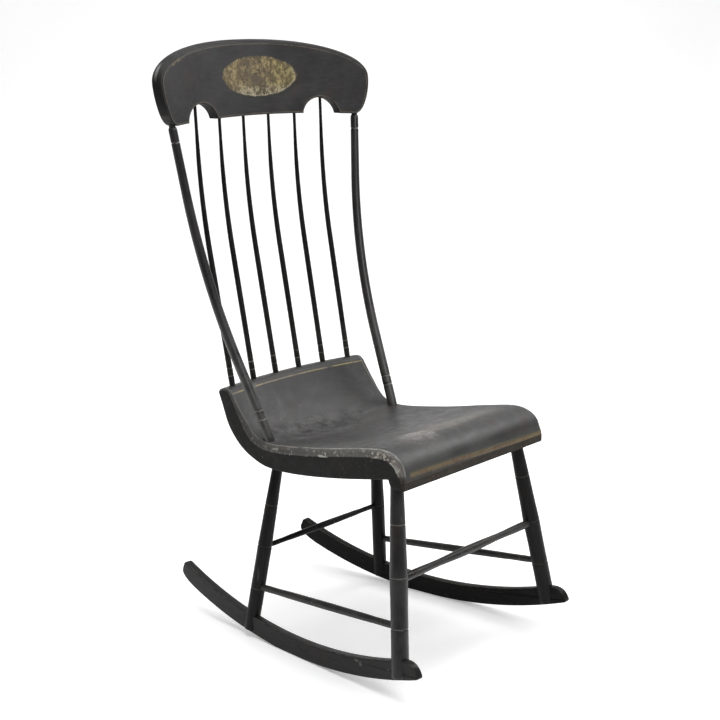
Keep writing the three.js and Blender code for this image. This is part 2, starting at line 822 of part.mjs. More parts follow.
// The small peg driven from behind through the crest's ear into the post's tenon
function crestPeg(side, margin = 0) {
  const curve = postLine(side);
  const middle = curve.getPointAt(1 - postCrestTenonDepth / 2 / curve.getLength());
  const place = crestPoint(middle.x, middle.z, crestThickness / 2 - crestPegLength / 2);
  const radius = crestPegDiameter / 2 + margin;
  const geometry = new THREE.CylinderGeometry(radius, radius, crestPegLength + 2 * margin, pegSides);
  geometry.rotateZ(-Math.asin(place.x / crestBowRadius)).translate(place.x, place.y, place.z);
  return toSolid(geometry);
}

// Spindles, counted from the left

function spindleLine(index) {
  const place = index - (spindleCount - 1) / 2;
  const outerX = crestHalfLength - notchInset + spindleNotchInset;
  const highX = (place / ((spindleCount - 1) / 2)) * outerX;
  const lowX = place * spindleSeatPitch;
  const fromArch = (Math.abs(highX) - crestHalfLength + notchInset) / notchHalfWidth;
  const arch = Math.abs(fromArch) < 1 ? notchHeight * Math.sqrt(1 - fromArch ** 2) : crestFootArch;
  const entry = crestFootHeight + arch;
  const bow = seatRearBow * (1 - (lowX / seatRearHalfWidth) ** 2);
  const lowY = seatDepth - seatFrontReach - spindleSeatSetBack + bow;
  const [low, high] = [new THREE.Vector3(lowX, lowY, rollTopHeight), crestPoint(highX, entry)];
  const tenons = [spindleRollTenonDepth, spindleCrestTenonDepth];
  const curve = backLine(low, high, spindleUpperLean, spindleBendShare, spindleBendReach, ...tenons);
  return { curve, entry };
}

function spindleBlank(index, margin = 0) {
  const { curve, entry } = spindleLine(index);
  const at = (height) => lengthAtHeight(curve, height);
  const [start, end] = [at(rollTopHeight), at(entry)];
  const bodyShares = [
    [0.12, spindleBodyDiameter],
    [0.35, spindleBodyDiameter],
    [0.55, spindleBodyDiameter * 0.94],
    [0.68, spindleUpperDiameter * 1.04],
    [0.8, spindleUpperDiameter * 0.95],
    [0.92, spindleNeckDiameter],
  ];
  const profile = [
    [0, spindleTenonDiameter / 2],
    [start - clearance, spindleTenonDiameter / 2],
    [start + clearance, spindleBaseDiameter / 2 - clearance],
    ...ring(start + spindleRingRise, spindleBaseDiameter / 2, ringWidth / 2),
    ...ring(start + spindleRingRise + spindleRingSpacing, spindleBodyDiameter / 2, ringWidth / 2),
    ...bodyShares.map(([share, diameter]) => [lerp(start, end, share), diameter / 2]),
    [curve.getLength(), spindleTenonDiameter / 2],
  ];
  return toSolid(bendAlong(turn(profile, spindleSides, margin), curve, 0));
}

// Finishes, each piece with its own

function blackPaint(lightness, roughness) {
  return new THREE.MeshStandardMaterial({
    color: new THREE.Color().setRGB(lightness, lightness * 0.98, lightness * 0.96, THREE.SRGBColorSpace),
    roughness,
    metalness: 0,
  });
}

const chair = new THREE.Group();
const fromContact = new THREE.Group();
fromContact.position.y = (rockerFrontReach - rockerRearReach) / 2;
chair.add(fromContact);

function addPiece(name, solid, finish, frame = new THREE.Matrix4()) {
  const mesh = new THREE.Mesh(toGeometry(solid).applyMatrix4(frame.clone().invert()), finish);
  mesh.name = name;
  mesh.applyMatrix4(frame);
  fromContact.add(mesh);
}

// Assembly

const legKinds = Object.entries(legs);
const sideKinds = Object.entries(sides);
const grownStretchers = Object.values(stretchers).map((stretcher) => stretcherSolid(stretcher, clearance));
const grownLegs = legKinds.flatMap(([, leg]) => (
  sideKinds.map(([, side]) => legBlank(leg, side, clearance))
));
const grownPosts = sideKinds.map(([, side]) => postBlank(side, clearance));
const spindleIndices = [...Array(spindleCount).keys()];
const grownSpindles = spindleIndices.map((index) => spindleBlank(index, clearance));
const grownLegPegs = legKinds.flatMap(([, leg]) => (
  sideKinds.map(([, side]) => legPeg(leg, side, clearance))
));
const grownCrestPegs = sideKinds.map(([, side]) => crestPeg(side, clearance));

for (const [sideName, side] of sideKinds) {
  const rocker = cutFrom(rockerBlank(side), grownLegPegs);
  addPiece(`rocker_${sideName}`, rocker, blackPaint(0.16, 0.5), rockerFrame(side));
}

for (const [legName, leg] of legKinds) {
  for (const [sideName, side] of sideKinds) {
    const slot = rockerSlot(side, leg.rockerReach, leg.footDiameter * 1.2);
    const tools = [slot, ...grownStretchers, ...grownLegPegs];
    const cutLeg = cutFrom(legBlank(leg, side), tools);
    addPiece(`${legName}_leg_${sideName}`, cutLeg, blackPaint(0.17, 0.45), legFrame(leg, side));
    addPiece(`${legName}_leg_peg_${sideName}`, legPeg(leg, side), blackPaint(0.15, 0.5), rockerFrame(side));
  }
}

for (const [name, stretcher] of Object.entries(stretchers)) {
  addPiece(name, stretcherSolid(stretcher), blackPaint(0.18, 0.45), frameAlong(...stretcher.ends));
}

const seat = seatBlank();
const stripSeamHeight = stripTop.y - clearance;
const aboveRollSeam = halfSpace(rollSeamReach, rollSeamHeight, rollSeamSlope, 1);
const aboveRollJoint = halfSpace(rollSeamReach, rollSeamHeight + clearance, rollSeamSlope, 1);
const belowStripSeam = halfSpace(stripTop.x, stripSeamHeight, stripSeamSlope, -1);
const belowStripJoint = halfSpace(stripTop.x, stripSeamHeight - clearance, stripSeamSlope, -1);
const plankTools = [aboveRollSeam, belowStripSeam, ...grownLegs, ...grownPosts];
addPiece('seat_plank', cutFrom(seat, plankTools), blackPaint(0.36, 0.4));
const rollBlank = seat.intersect(aboveRollJoint);
addPiece('seat_back_roll', cutFrom(rollBlank, [...grownPosts, ...grownSpindles]), blackPaint(0.36, 0.4));
addPiece('seat_front_roll', cutFrom(seat.intersect(belowStripJoint), grownLegs), blackPaint(0.3, 0.42));

for (const [sideName, side] of sideKinds) {
  addPiece(`post_${sideName}`, cutFrom(postBlank(side), grownCrestPegs), blackPaint(0.2, 0.42));
}
for (const index of spindleIndices) {
  addPiece(`spindle_${index + 1}`, spindleBlank(index), blackPaint(0.18, 0.45));
}

const notches = sideKinds.map(([, side]) => notch(side));
const crestTools = [...notches, ...grownPosts, ...grownSpindles, ...grownCrestPegs];
addPiece('crest_rail', cutFrom(crestBlank(), crestTools), blackPaint(0.27, 0.4));
for (const [sideName, side] of sideKinds) {
  addPiece(`crest_peg_${sideName}`, crestPeg(side), blackPaint(0.2, 0.45));
}

export default chair;
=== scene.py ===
import math
from functools import reduce

import bmesh
import bpy
import numpy as np
from mathutils import Matrix, Vector


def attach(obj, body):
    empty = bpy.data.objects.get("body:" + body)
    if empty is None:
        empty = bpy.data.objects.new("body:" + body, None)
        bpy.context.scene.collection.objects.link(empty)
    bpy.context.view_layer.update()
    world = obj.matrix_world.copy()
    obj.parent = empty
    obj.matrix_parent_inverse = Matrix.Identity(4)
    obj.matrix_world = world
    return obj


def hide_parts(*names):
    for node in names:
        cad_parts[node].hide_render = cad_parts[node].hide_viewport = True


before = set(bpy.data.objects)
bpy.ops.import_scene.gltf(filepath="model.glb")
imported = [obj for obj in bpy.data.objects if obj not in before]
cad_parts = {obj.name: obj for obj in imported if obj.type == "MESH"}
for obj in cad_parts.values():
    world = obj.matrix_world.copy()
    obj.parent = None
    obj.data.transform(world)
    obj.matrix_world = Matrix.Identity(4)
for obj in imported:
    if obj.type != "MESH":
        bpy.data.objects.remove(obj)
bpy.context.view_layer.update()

# The chair's sizes, in millimetres, from the line on which the rockers touch the floor
MM = 0.001
ROCKER_FRONT, ROCKER_REAR = 299, 318
ROCKER_RADIUS, ROCKER_DEPTH, ROCKER_THICKNESS, ROCKER_ROUND = 856, 33, 15, 2.4
ROCKER_SPREAD, ROCKER_TOE = 187.5, math.radians(4.9)
FLAT_FRONT, FLAT_REAR = 22, 48
TAIL_TOP, TAIL_FOOT, TAIL_RISE, NOSE_LENGTH, NOSE_TIP = 8, 45, 15, 38, 4   # the reach of the ends' rounds
ORIGIN_SHIFT = (ROCKER_FRONT - ROCKER_REAR) / 2
SEAT_FRONT, SEAT_DEPTH, SEAT_BASE, SEAT_RISE = 246, 438, 324, 124.6
SEAT_FRONT_HALF, SEAT_REAR_HALF, SEAT_BOW, SEAT_DISH = 193.7, 178, 18, 7
SEAT_SIDE_ROUND, SEAT_TOP_ROUND, CROWN_REACH = 3.0, 12.0, 75
CREST_HALF, CREST_FOOT, CREST_ARCH, CREST_HEIGHT = 266.5, 905, 7, 141
CREST_END_HEIGHT, CREST_END_REACH, CREST_THICKNESS = 69.4, 37.5, 21
CREST_FOOT_ROUND, CREST_ROUND = 2.4, 6.0
END_FULLNESS, TOP_FULLNESS = 1.82, 2.175
CREST_BOW, CREST_BACK = 822, 264.5
NOTCH_INSET, NOTCH_HALF, NOTCH_HEIGHT = 114.5, 41.5, 33
LEG_TENON, STRETCHER_TENON = 21, 9
# The seams' slopes, and where the saw cuts for the back roll and the front strip lie, with a fine gap
ROLL_SLOPE, ROLL_SEAM_Y, ROLL_SEAM_HEIGHTS = .28, 63, (366.9, 367.2)
STRIP_SLOPE, STRIP_SEAM_DROPS = .22, (.2, .5)

# Back members: the lean of the straight upper part, the bend's height and reach, and both tenons' depths
POST_LEAN, SPINDLE_LEAN = .128, .05
POST_BEND, POST_TENONS = (639, 158), (26, 34)
SPINDLE_BEND, SPINDLE_TENONS = (768, 94), (20, 16)
POST_Y, POST_INSET, POST_HEAD_INSET, POST_SHOULDER = 77, 16.8, 34, 903
SPINDLE_SPACING, SPINDLE_INSET, OUTER_SPINDLE = 61.4, 15.7, 7.5
# The rings' heights: low ones above the seat or the roll, the post's top one above the floor
POST_LOW_RINGS, POST_TOP_RING, SPINDLE_RINGS = (35, 50), 877, (16, 30)

# Turned rings: the width and depth of the groove
LEG_RING, STRETCHER_RING, SPINDLE_RING = (3.0, .9), (1.6, .6), (1.8, .55)
LEGS = {
    "front": dict(rocker=-259.5, seat=-206, inset=29.8, top=21.5, foot=29.2,
                  rings=[(120, 29.2), (200.5, 30), (284.6, 25.8)]),
    "rear": dict(rocker=120, seat=90.5, inset=52, top=18.6, foot=25,
                 rings=[(88, 26), (166, 25.8), (241, 22.7)]),
}
SIDES = {"left": -1, "right": 1}

root_collection = bpy.context.scene.collection


def place(p):
    """A point in millimetres from the floor contact, as metres from the origin."""
    return Vector((p[0] * MM, (p[1] + ORIGIN_SHIFT) * MM, p[2] * MM))


def lerp(a, b, t):
    return a + (b - a) * t


def smoothstep(x, low, high):
    t = np.clip((x - low) / (high - low), 0, 1)
    return t * t * (3 - 2 * t)


# Meshes

def link_mesh(name, mesh, smooth_angle):
    """An object for a mesh, smooth up to an angle in degrees."""
    obj = bpy.data.objects.new(name, mesh)
    root_collection.objects.link(obj)
    mesh.shade_smooth()
    mesh.set_sharp_from_angle(angle=math.radians(smooth_angle))
    return obj


def mesh_object(name, vertices, faces, attributes, smooth_angle):
    mesh = bpy.data.meshes.new(name)
    mesh.from_pydata([tuple(v) for v in vertices], [], faces)
    for key, values in attributes.items():
        layer = mesh.attributes.new(key, "FLOAT", "POINT")
        layer.data.foreach_set("value", np.asarray(values, np.float32))
    bm = bmesh.new()
    bm.from_mesh(mesh)
    bmesh.ops.remove_doubles(bm, verts=bm.verts, dist=1e-6)
    bmesh.ops.dissolve_degenerate(bm, edges=bm.edges, dist=1e-7)
    bmesh.ops.recalc_face_normals(bm, faces=bm.faces)
    bm.to_mesh(mesh)
    bm.free()
    return link_mesh(name, mesh, smooth_angle)


def loft_faces(ring_count, point_count, caps=True):
    """Faces between closed rings of points, and over the first and the last ring."""
    faces = []
    for i in range(ring_count - 1):
        for j in range(point_count):
            a, b = i * point_count + j, i * point_count + (j + 1) % point_count
            faces.append((a, a + point_count, b + point_count, b))
    if caps:
        faces.append(tuple(range(point_count)))
        last = (ring_count - 1) * point_count
        faces.append(tuple(last + j for j in reversed(range(point_count))))
    return faces


def finish_piece(obj, node, material):
    obj.data.materials.append(material)
    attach(obj, "root")
    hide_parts(node)


# Curves

def normalized(vectors):
    return vectors / np.linalg.norm(vectors, axis=-1, keepdims=True)


def loop_tangents(loop):
    """The direction of a closed line at each of its points."""
    return normalized(np.roll(loop, -1, 0) - np.roll(loop, 1, 0))


def lengths_along(line):
    steps = np.linalg.norm(np.diff(line, axis=0), axis=1)
    return np.concatenate([[0], np.cumsum(steps)])


def resample(line, samples):
    line = np.asarray(line, float)
    along = lengths_along(line)
    at = np.linspace(0, along[-1], samples + 1)
    return np.stack([np.interp(at, along, line[:, k]) for k in range(line.shape[1])], -1)


def catmull(points, samples):
    """Points at even spacing along a uniform Catmull-Rom curve."""
    points = np.asarray(points, float)
    last = len(points) - 1

    def at(t):
        p = last * t
        i = min(int(p), last)
        w = p - i
        p0, p1 = points[max(i - 1, 0)], points[i]
        p2, p3 = points[min(i + 1, last)], points[min(i + 2, last)]
        v0, v1 = (p2 - p0) / 2, (p3 - p1) / 2
        return ((2 * p1 - 2 * p2 + v0 + v1) * w**3 + (-3 * p1 + 3 * p2 - 2 * v0 - v1) * w**2 + v0 * w + p1)

    return resample([at(t) for t in np.linspace(0, 1, 1201)], samples)


def quad(a, corner, b, steps):
    """Points along a quadratic curve from a to b, drawn towards the corner."""
    t = np.linspace(0, 1, steps + 1)[:, None]
    return (1 - t) ** 2 * a + 2 * t * (1 - t) * corner + t**2 * b


class BackLine:
    """The centre line of a post or spindle: straight, bent and straight again, with a tenon at each end."""

    def __init__(self, low, high, upper_lean, bend, tenons):
        low, high = np.asarray(low, float), np.asarray(high, float)
        height, reach = bend
        corner = lerp(low, high, (height - low[2]) / (high[2] - low[2]))
        corner[1] = high[1] - upper_lean * (high[2] - height)
        down, up = normalized(low - corner), normalized(high - corner)
        low, high = low + down * tenons[0], high + up * tenons[1]
        before, after = corner + down * reach, corner + up * reach
        t = np.linspace(0, 1, 400)[:, None]
        self.line = np.vstack([low + (before - low) * t[:-1], quad(before, corner, after, 399),
                               after + (high - after) * t[1:]])
        self.along = lengths_along(self.line)
        self.length = self.along[-1]

    def point(self, s):
        return np.array([np.interp(s, self.along, self.line[:, k]) for k in range(3)])

    def tangent(self, s):
        return normalized(self.point(min(s + 1, self.length)) - self.point(max(s - 1, 0)))

    def at_height(self, z):
        return float(np.interp(z, self.line[:, 2], self.along))

    def carry(self, s, a, b):
        """The place at a length along the line and two distances from it."""
        t = self.tangent(s)
        across = normalized(np.array([1.0, 0, 0]) - t * t[0])
        return self.point(s) + across * a + np.cross(across, t) * b


# Seat lines, as shares of its depth and rise

TOP_SHARES = [(0, .3), (.011, .518), (.055, .646), (.128, .682), (.27, .599), (.475, .46), (.7, .356),
              (.8, .424), (.876, .685), (.93, .946)]
ROLL_SHARES = [(.945, .985), (.967, .99), (.99, .965)]
UNDER_SHARES = [(1, .92), (.979, .749), (.94, .449), (.87, .197), (.78, .049), (.695, 0), (.548, .025),
                (.3326, .134), (.078, .311)]


def seat_line(shares, samples):
    return catmull([(SEAT_DEPTH * d - SEAT_FRONT, SEAT_BASE + SEAT_RISE * r) for d, r in shares], samples)


seat_top_line = seat_line(TOP_SHARES, 100)
seat_roll_line = seat_line([TOP_SHARES[-1], *ROLL_SHARES, UNDER_SHARES[0]], 14)[1:-1]
seat_under_line = seat_line(UNDER_SHARES, 56)

# The strip under the front lip: its back, as shares of its width and height from its top rear corner
strip_top = seat_under_line[-1]
STRIP_HEIGHT, STRIP_WIDTH, STRIP_ROUND = 13, strip_top[0] + SEAT_FRONT, 1.2
STRIP_BACK_SHARES = [(.03, .3), (.08, .6), (.2, .88), (.38, 1)]


def height_of(line, y):
    order = np.argsort(line[:, 0])
    return float(np.interp(y, line[order, 0], line[order, 1]))


def under_height(y):
    return height_of(seat_under_line[np.argmax(seat_under_line[:, 0]):], y)


def depth_share(y):
    return (y + SEAT_FRONT) / SEAT_DEPTH


def seat_half(y):
    return lerp(SEAT_FRONT_HALF, SEAT_REAR_HALF, depth_share(y))


def seat_bow(x):
    """How far the seat's back edge bows to the rear."""
    return SEAT_BOW * (1 - (x / SEAT_REAR_HALF) ** 2)


# Crest lines

def crest_point(x, z, offset=0.0):
    angle = math.asin(x / CREST_BOW)
    r = CREST_BOW + offset
    y = CREST_BACK + r * math.cos(angle) - CREST_BOW + (z - CREST_FOOT) * POST_LEAN
    return np.array([r * math.sin(angle), y, z])


def notch_height(x):
    """The height of a notch's arch above the crest's foot, or None outside the notches."""
    across = (abs(x) - CREST_HALF + NOTCH_INSET) / NOTCH_HALF
    return NOTCH_HEIGHT * math.sqrt(1 - across**2) if abs(across) < 1 else None


# Rockers

CENTRE_HEIGHT = math.sqrt(ROCKER_RADIUS**2 - FLAT_FRONT**2)
TOP_RADIUS = ROCKER_RADIUS - ROCKER_DEPTH


def on_rocker(angle, radius):
    return np.array([radius * math.sin(angle), CENTRE_HEIGHT - radius * math.cos(angle)])


def rocker_arc(start, end, radius, steps):
    return np.array([on_rocker(angle, radius) for angle in np.linspace(start, end, steps + 1)])


def rocker_matrix(side):
    toe = Matrix.Rotation(side * ROCKER_TOE, 4, "Z")
    stand = Matrix(((0, 0, 1, 0), (1, 0, 0, 0), (0, 1, 0, 0), (0, 0, 0, 1)))
    return Matrix.Translation((side * ROCKER_SPREAD, 0, 0)) @ toe @ stand


def rocker_point(side, reach, radius):
    p = on_rocker(math.asin(reach / ROCKER_RADIUS), radius)
    return np.array(rocker_matrix(side) @ Vector((*p, 0)))


def rocker_outline():
    """The blade's closed outline, from the front end of its flat round the tail and the nose."""
    foot, top, at = ROCKER_RADIUS, TOP_RADIUS, on_rocker
    front, rear = math.asin(ROCKER_FRONT / foot), math.asin(ROCKER_REAR / foot)
    flat_start = -math.asin(FLAT_FRONT / foot)
    flat_end = math.atan(FLAT_REAR / CENTRE_HEIGHT) + math.acos(foot / math.hypot(FLAT_REAR, CENTRE_HEIGHT))
    tail, tail_foot = rear - TAIL_TOP / top, rear - TAIL_FOOT / foot
    tip, nose = front - NOSE_TIP / foot, front - NOSE_LENGTH / top
    nose_edge = at(-front, foot - NOSE_TIP)
    return np.vstack([
        [at(flat_start, foot), (FLAT_REAR, at(flat_start, foot)[1])],
        rocker_arc(flat_end, tail_foot, foot, 40),
        quad(at(tail_foot, foot), at(rear, foot), at(rear, foot - TAIL_RISE), 12)[1:],
        quad(at(rear, top + TAIL_TOP), at(rear, top), at(tail, top), 8),
        rocker_arc(tail, -nose, top, 90)[1:],
        quad(at(-nose, top), at(-front, top), nose_edge, 16)[1:],
        quad(nose_edge, at(-front, foot), at(-tip, foot), 6)[1:],
        rocker_arc(-tip, flat_start, foot, 50)[1:-1],
    ])


def inset_line(line, amount):
    """A closed line moved towards its inside, which lies to the left of its direction."""
    d = loop_tangents(line)
    return line + np.stack([-d[:, 1], d[:, 0]], -1) * amount


def make_rocker(name, side):
    """The blade. Its edge attribute is the distance from the nearest long edge."""
    outline = rocker_outline()
    half, rounding = ROCKER_THICKNESS / 2, ROCKER_ROUND
    steps = [(-half, rounding + 3), (-half, rounding + .6)]
    steps += [(-half + rounding * (1 - math.cos(a)), rounding * (1 - math.sin(a)))
              for a in np.linspace(0, math.pi / 2, 6)]
    steps += [(-offset, inset) for offset, inset in reversed(steps)]
    matrix = rocker_matrix(side)
    vertices, edge = [], []
    for offset, inset in steps:
        vertices += [place(matrix @ Vector((*p, offset))) for p in inset_line(outline, inset)]
        edge += [max(inset, half - abs(offset))] * len(outline)
    return mesh_object(name, vertices, loft_faces(len(steps), len(outline)), {"edge": edge}, 50)


# Turnings

def turned_profile(keys, rings, ring_size):
    """Lengths, radii and distances from the nearest ring along a turning, from its key sizes."""
    width, depth = ring_size
    s_keys, r_keys = np.array(keys, float).T
    stops = set(np.arange(s_keys[0], s_keys[-1], 5.0)) | set(s_keys)
    for ring in rings:
        stops |= {ring + width * w for w in (-1.5, -.75, -.5, -.34, -.17, 0, .17, .34, .5, .75, 1.5)}
    stops = np.array(sorted(s for s in stops if s_keys[0] <= s <= s_keys[-1]))
    stops = stops[np.concatenate([[True], np.diff(stops) > .05])]
    radii = np.interp(stops, s_keys, r_keys)
    near = np.full(len(stops), 99.0)
    for ring in rings:
        away = np.abs(stops - ring)
        radii -= depth * np.clip(1 - away / (width / 2), 0, 1) ** .8
        near = np.minimum(near, away)
    return stops, radii, near


def make_turned(name, keys, rings, ring_size, carry, sides, lobes):
    """A turning whose points carry() puts in place. lobes is how far out of round it has worn."""
    vertices, ring = [], []
    profile = turned_profile(keys, rings, ring_size)
    for s, r, near in zip(*profile):
        wobble = lobes * math.sin(s * .021 + lobes * 50)
        for a in np.linspace(0, 2 * math.pi, sides, endpoint=False):
            out = r * (1 + wobble * math.cos(2 * a + s * .01))
            vertices.append(place(carry(s, out * math.cos(a), out * math.sin(a))))
        ring += [near] * sides
    return mesh_object(name, vertices, loft_faces(len(profile[0]), sides), {"ring": ring}, 60)


def straight_carry(start, end):
    start, end = Vector(start), Vector(end)
    turn = Vector((0, 1, 0)).rotation_difference((end - start).normalized())
    matrix = Matrix.Translation(start) @ turn.to_matrix().to_4x4()
    return lambda s, a, b: matrix @ Vector((a, s, b))


def leg_point(leg, side, z):
    """The point at a height on the line of a leg, from the middle of the rocker to the seat."""
    low = rocker_point(side, leg["rocker"], ROCKER_RADIUS - ROCKER_DEPTH / 2)
    y = leg["seat"]
    high = np.array([side * (seat_half(y) - leg["inset"]), y, under_height(y)])
    return lerp(low, high, (z - low[2]) / (high[2] - low[2]))


def make_leg(name, leg, side):
    foot_z = rocker_point(-1, leg["rocker"], ROCKER_RADIUS)[2] + 3
    top_z = under_height(leg["seat"]) + LEG_TENON
    start, end = leg_point(leg, side, foot_z), leg_point(leg, side, top_z)
    at = lambda z: float(np.linalg.norm(leg_point(leg, side, z) - start))
    length = at(top_z)
    keys = [(0, leg["foot"] / 2 - 1.2), (1.2, leg["foot"] / 2 - .2), (3, leg["foot"] / 2)]
    levels = leg["rings"] + [(top_z - LEG_TENON, leg["top"])]
    for (z, d), (z2, d2) in zip(levels, levels[1:]):
        keys += [(at(z), d / 2)]
        for share in (.2, .4, .6, .8):
            waist = 1 - .02 * math.sin(math.pi * share)
            keys += [(lerp(at(z), at(z2), share), lerp(d, d2, share) / 2 * waist)]
    keys += [(length - LEG_TENON, leg["top"] / 2), (length, leg["top"] / 2 - 1.5)]
    rings = [at(z) for z, _ in leg["rings"]]
    return make_turned(name, keys, rings, LEG_RING, straight_carry(start, end), 48, .004)


def make_stretcher(name, ends, leg_radii, sizes, ribs=()):
    """A stretcher between the lines of two legs. ribs are the shares of its length with more rings."""
    tenon, tip, neck, middle = sizes
    (start, end), sunk = ends, STRETCHER_TENON
    d = normalized(end - start)
    start, end = start + d * (leg_radii[0] - sunk), end - d * (leg_radii[1] - sunk)
    length = float(np.linalg.norm(end - start))
    shares = [(0, tip), (.05, tip), (.13, tip * .97), (.2, lerp(tip, neck, .8)), (.26, neck),
              (.33, lerp(neck, middle, .45)), (.42, middle), (.5, middle * 1.02)]
    shares += [(1 - s, v) for s, v in reversed(shares[:-1])]
    body = [(sunk + (length - 2 * sunk) * s, v / 2) for s, v in shares]
    foot = [(0, tenon / 2), (sunk - .1, tenon / 2), (sunk, tip / 2 - .3)]
    keys = [*foot, *body[1:-1], *[(length - s, r) for s, r in reversed(foot)]]
    end_ring = sunk + length * .07
    rings = [end_ring, length - end_ring, length * .42, length * .58, *[length * share for share in ribs]]
    return make_turned(name, keys, rings, STRETCHER_RING, straight_carry(start, end), 36, .006)


def make_post(name, side):
    seat_z = height_of(seat_top_line, POST_Y)
    low = (side * (seat_half(POST_Y) - POST_INSET), POST_Y, seat_z)
    high = crest_point(side * (CREST_HALF - POST_HEAD_INSET), POST_SHOULDER)
    curve = BackLine(low, high, POST_LEAN, POST_BEND, POST_TENONS)
    at = curve.at_height
    foot, upper, shoulder = at(seat_z), at(POST_TOP_RING), at(POST_SHOULDER)
    lower, second = [at(seat_z + height) for height in POST_LOW_RINGS]
    middle = lerp(lower, upper, .5)
    keys = [(0, 6.5), (foot, 8.6), (foot + 12, 8.9), (lower, 8.9), (lower + 30, 8.9),
            (lerp(lower, middle, .6), 8.75), (middle, 8.5), (lerp(middle, upper, .5), 8.0), (upper - 8, 7.5),
            (upper + 8, 7.5), (shoulder - 5, 7.5), (shoulder - 3, 7.3), (shoulder - 1.4, 6.7),
            (shoulder - .4, 5.9), (shoulder, 5.5), (curve.length, 5.5)]
    return make_turned(name, keys, [lower, second, upper], LEG_RING, curve.carry, 40, .004)


def make_spindle(name, index):
    place_share = index - 2.5
    high_x = place_share / 2.5 * (CREST_HALF - NOTCH_INSET + OUTER_SPINDLE)
    low_x = place_share * SPINDLE_SPACING
    entry = CREST_FOOT + (notch_height(high_x) or CREST_ARCH)
    roll_top = SEAT_BASE + SEAT_RISE
    low_y = SEAT_DEPTH - SEAT_FRONT - SPINDLE_INSET + seat_bow(low_x)
    low, high = (low_x, low_y, roll_top), crest_point(high_x, entry)
    curve = BackLine(low, high, SPINDLE_LEAN, SPINDLE_BEND, SPINDLE_TENONS)
    at = curve.at_height
    start, end = at(roll_top), at(entry)
    keys = [(0, 2.7), (start - 3.3, 2.7), (start - 3, 5.0), (start + 4, 5.3), (start + 16, 5.4)]
    for share, radius in [(.12, 5), (.35, 5), (.45, 4.9), (.55, 4.7), (.68, 4.25), (.8, 3.85), (.92, 2.9)]:
        keys.append((lerp(start, end, share), radius))
    keys += [(end, 2.75), (curve.length, 2.7)]
    rings = [at(roll_top + height) for height in SPINDLE_RINGS]
    return make_turned(name, keys, rings, SPINDLE_RING, curve.carry, 28, .01)


# Seat

def seat_outline():
    """The seat's section, a mark for the points of its upper side, and where the lip and the roll start."""
    strip_foot = strip_top[1] - STRIP_HEIGHT
    strip_front = resample([(-SEAT_FRONT, strip_foot), seat_top_line[0]], 5)[:-1]
    strip_front[0] += (0, STRIP_ROUND)
    strip_back = [(strip_top[0] - STRIP_WIDTH * w, strip_top[1] - STRIP_HEIGHT * h) for w, h in STRIP_BACK_SHARES]
    strip_back.append((-SEAT_FRONT + STRIP_ROUND, strip_foot))
    parts = [strip_front, seat_top_line, seat_roll_line, seat_under_line, strip_back]
    tops = np.concatenate([np.full(len(part), i in (1, 2)) for i, part in enumerate(parts)])
    lip = len(strip_front)
    tops[lip] = False
    return np.vstack(parts), tops, lip, lip + len(seat_top_line) - 1


def seat_sections():
    """The seat's rings from side to side, their attributes, and the lengths at which lip, crown and roll lie."""
    line, tops, lip, roll = seat_outline()
    length, share, d = lengths_along(line), depth_share(line[:, 0]), loop_tangents(line)
    broad = np.minimum(1 - smoothstep(share, .78, .92), smoothstep(length - length[lip], 0, 24))
    rounds = lerp(SEAT_SIDE_ROUND, SEAT_TOP_ROUND, tops * broad)
    dish = smoothstep(share, .1, .45) * (1 - smoothstep(share, .75, .93)) * tops
    cap_inset = lerp(1.2, 3.6, tops * (1 - smoothstep(share, .6, .8)))
    # for each ring: its place from -1 to 1, how far round the rim it lies, and whether it is a cap's
    rim_steps = [math.sin(a) for a in np.linspace(0, math.pi / 2, 9)][1:]
    stations = [(-1, 1, 1)] + [(-1, r, 0) for r in reversed(rim_steps)]
    stations += [(wide, 0, 0) for wide in np.linspace(-1, 1, 65)]
    stations += [(1, r, 0) for r in rim_steps] + [(1, 1, 1)]
    rings, attributes = [], {"section": [], "rim": [], "upper": []}
    for wide, roundness, is_cap in stations:
        sunk = rounds * (1 - math.sqrt(max(0, 1 - roundness**2))) + is_cap * cap_inset
        y = line[:, 0] + d[:, 1] * sunk
        z = line[:, 1] - d[:, 0] * sunk - SEAT_DISH * dish * (1 - abs(wide) ** 2.4)
        half = seat_half(y)
        x = wide * (half - rounds) + np.sign(wide) * rounds * roundness
        bowed = y + smoothstep(depth_share(y), .5, .88) * seat_bow(x)
        rings.append([place(p) for p in zip(x, bowed, z)])
        attributes["section"] += list(length)
        attributes["rim"] += list(half - np.abs(x))
        attributes["upper"] += list(tops * float(not is_cap))
    lip, roll = float(length[lip]), float(length[roll])
    return rings, attributes, (lip, lip + CROWN_REACH, roll)


def cut_piece(source, name, planes):
    """A closed copy of a mesh without what lies on the far side of each plane."""
    bm = bmesh.new()
    bm.from_mesh(source.data)
    for point, normal in planes:
        geometry = bm.verts[:] + bm.edges[:] + bm.faces[:]
        cut = bmesh.ops.bisect_plane(bm, geom=geometry, dist=1e-7, plane_co=place(point), plane_no=Vector(normal),
                                     clear_outer=True)
        edges = [e for e in cut["geom_cut"] if isinstance(e, bmesh.types.BMEdge) and e.is_boundary]
        bmesh.ops.holes_fill(bm, edges=edges, sides=0)
    bmesh.ops.recalc_face_normals(bm, faces=bm.faces)
    mesh = bpy.data.meshes.new(name)
    bm.to_mesh(mesh)
    bm.free()
    return link_mesh(name, mesh, 42)


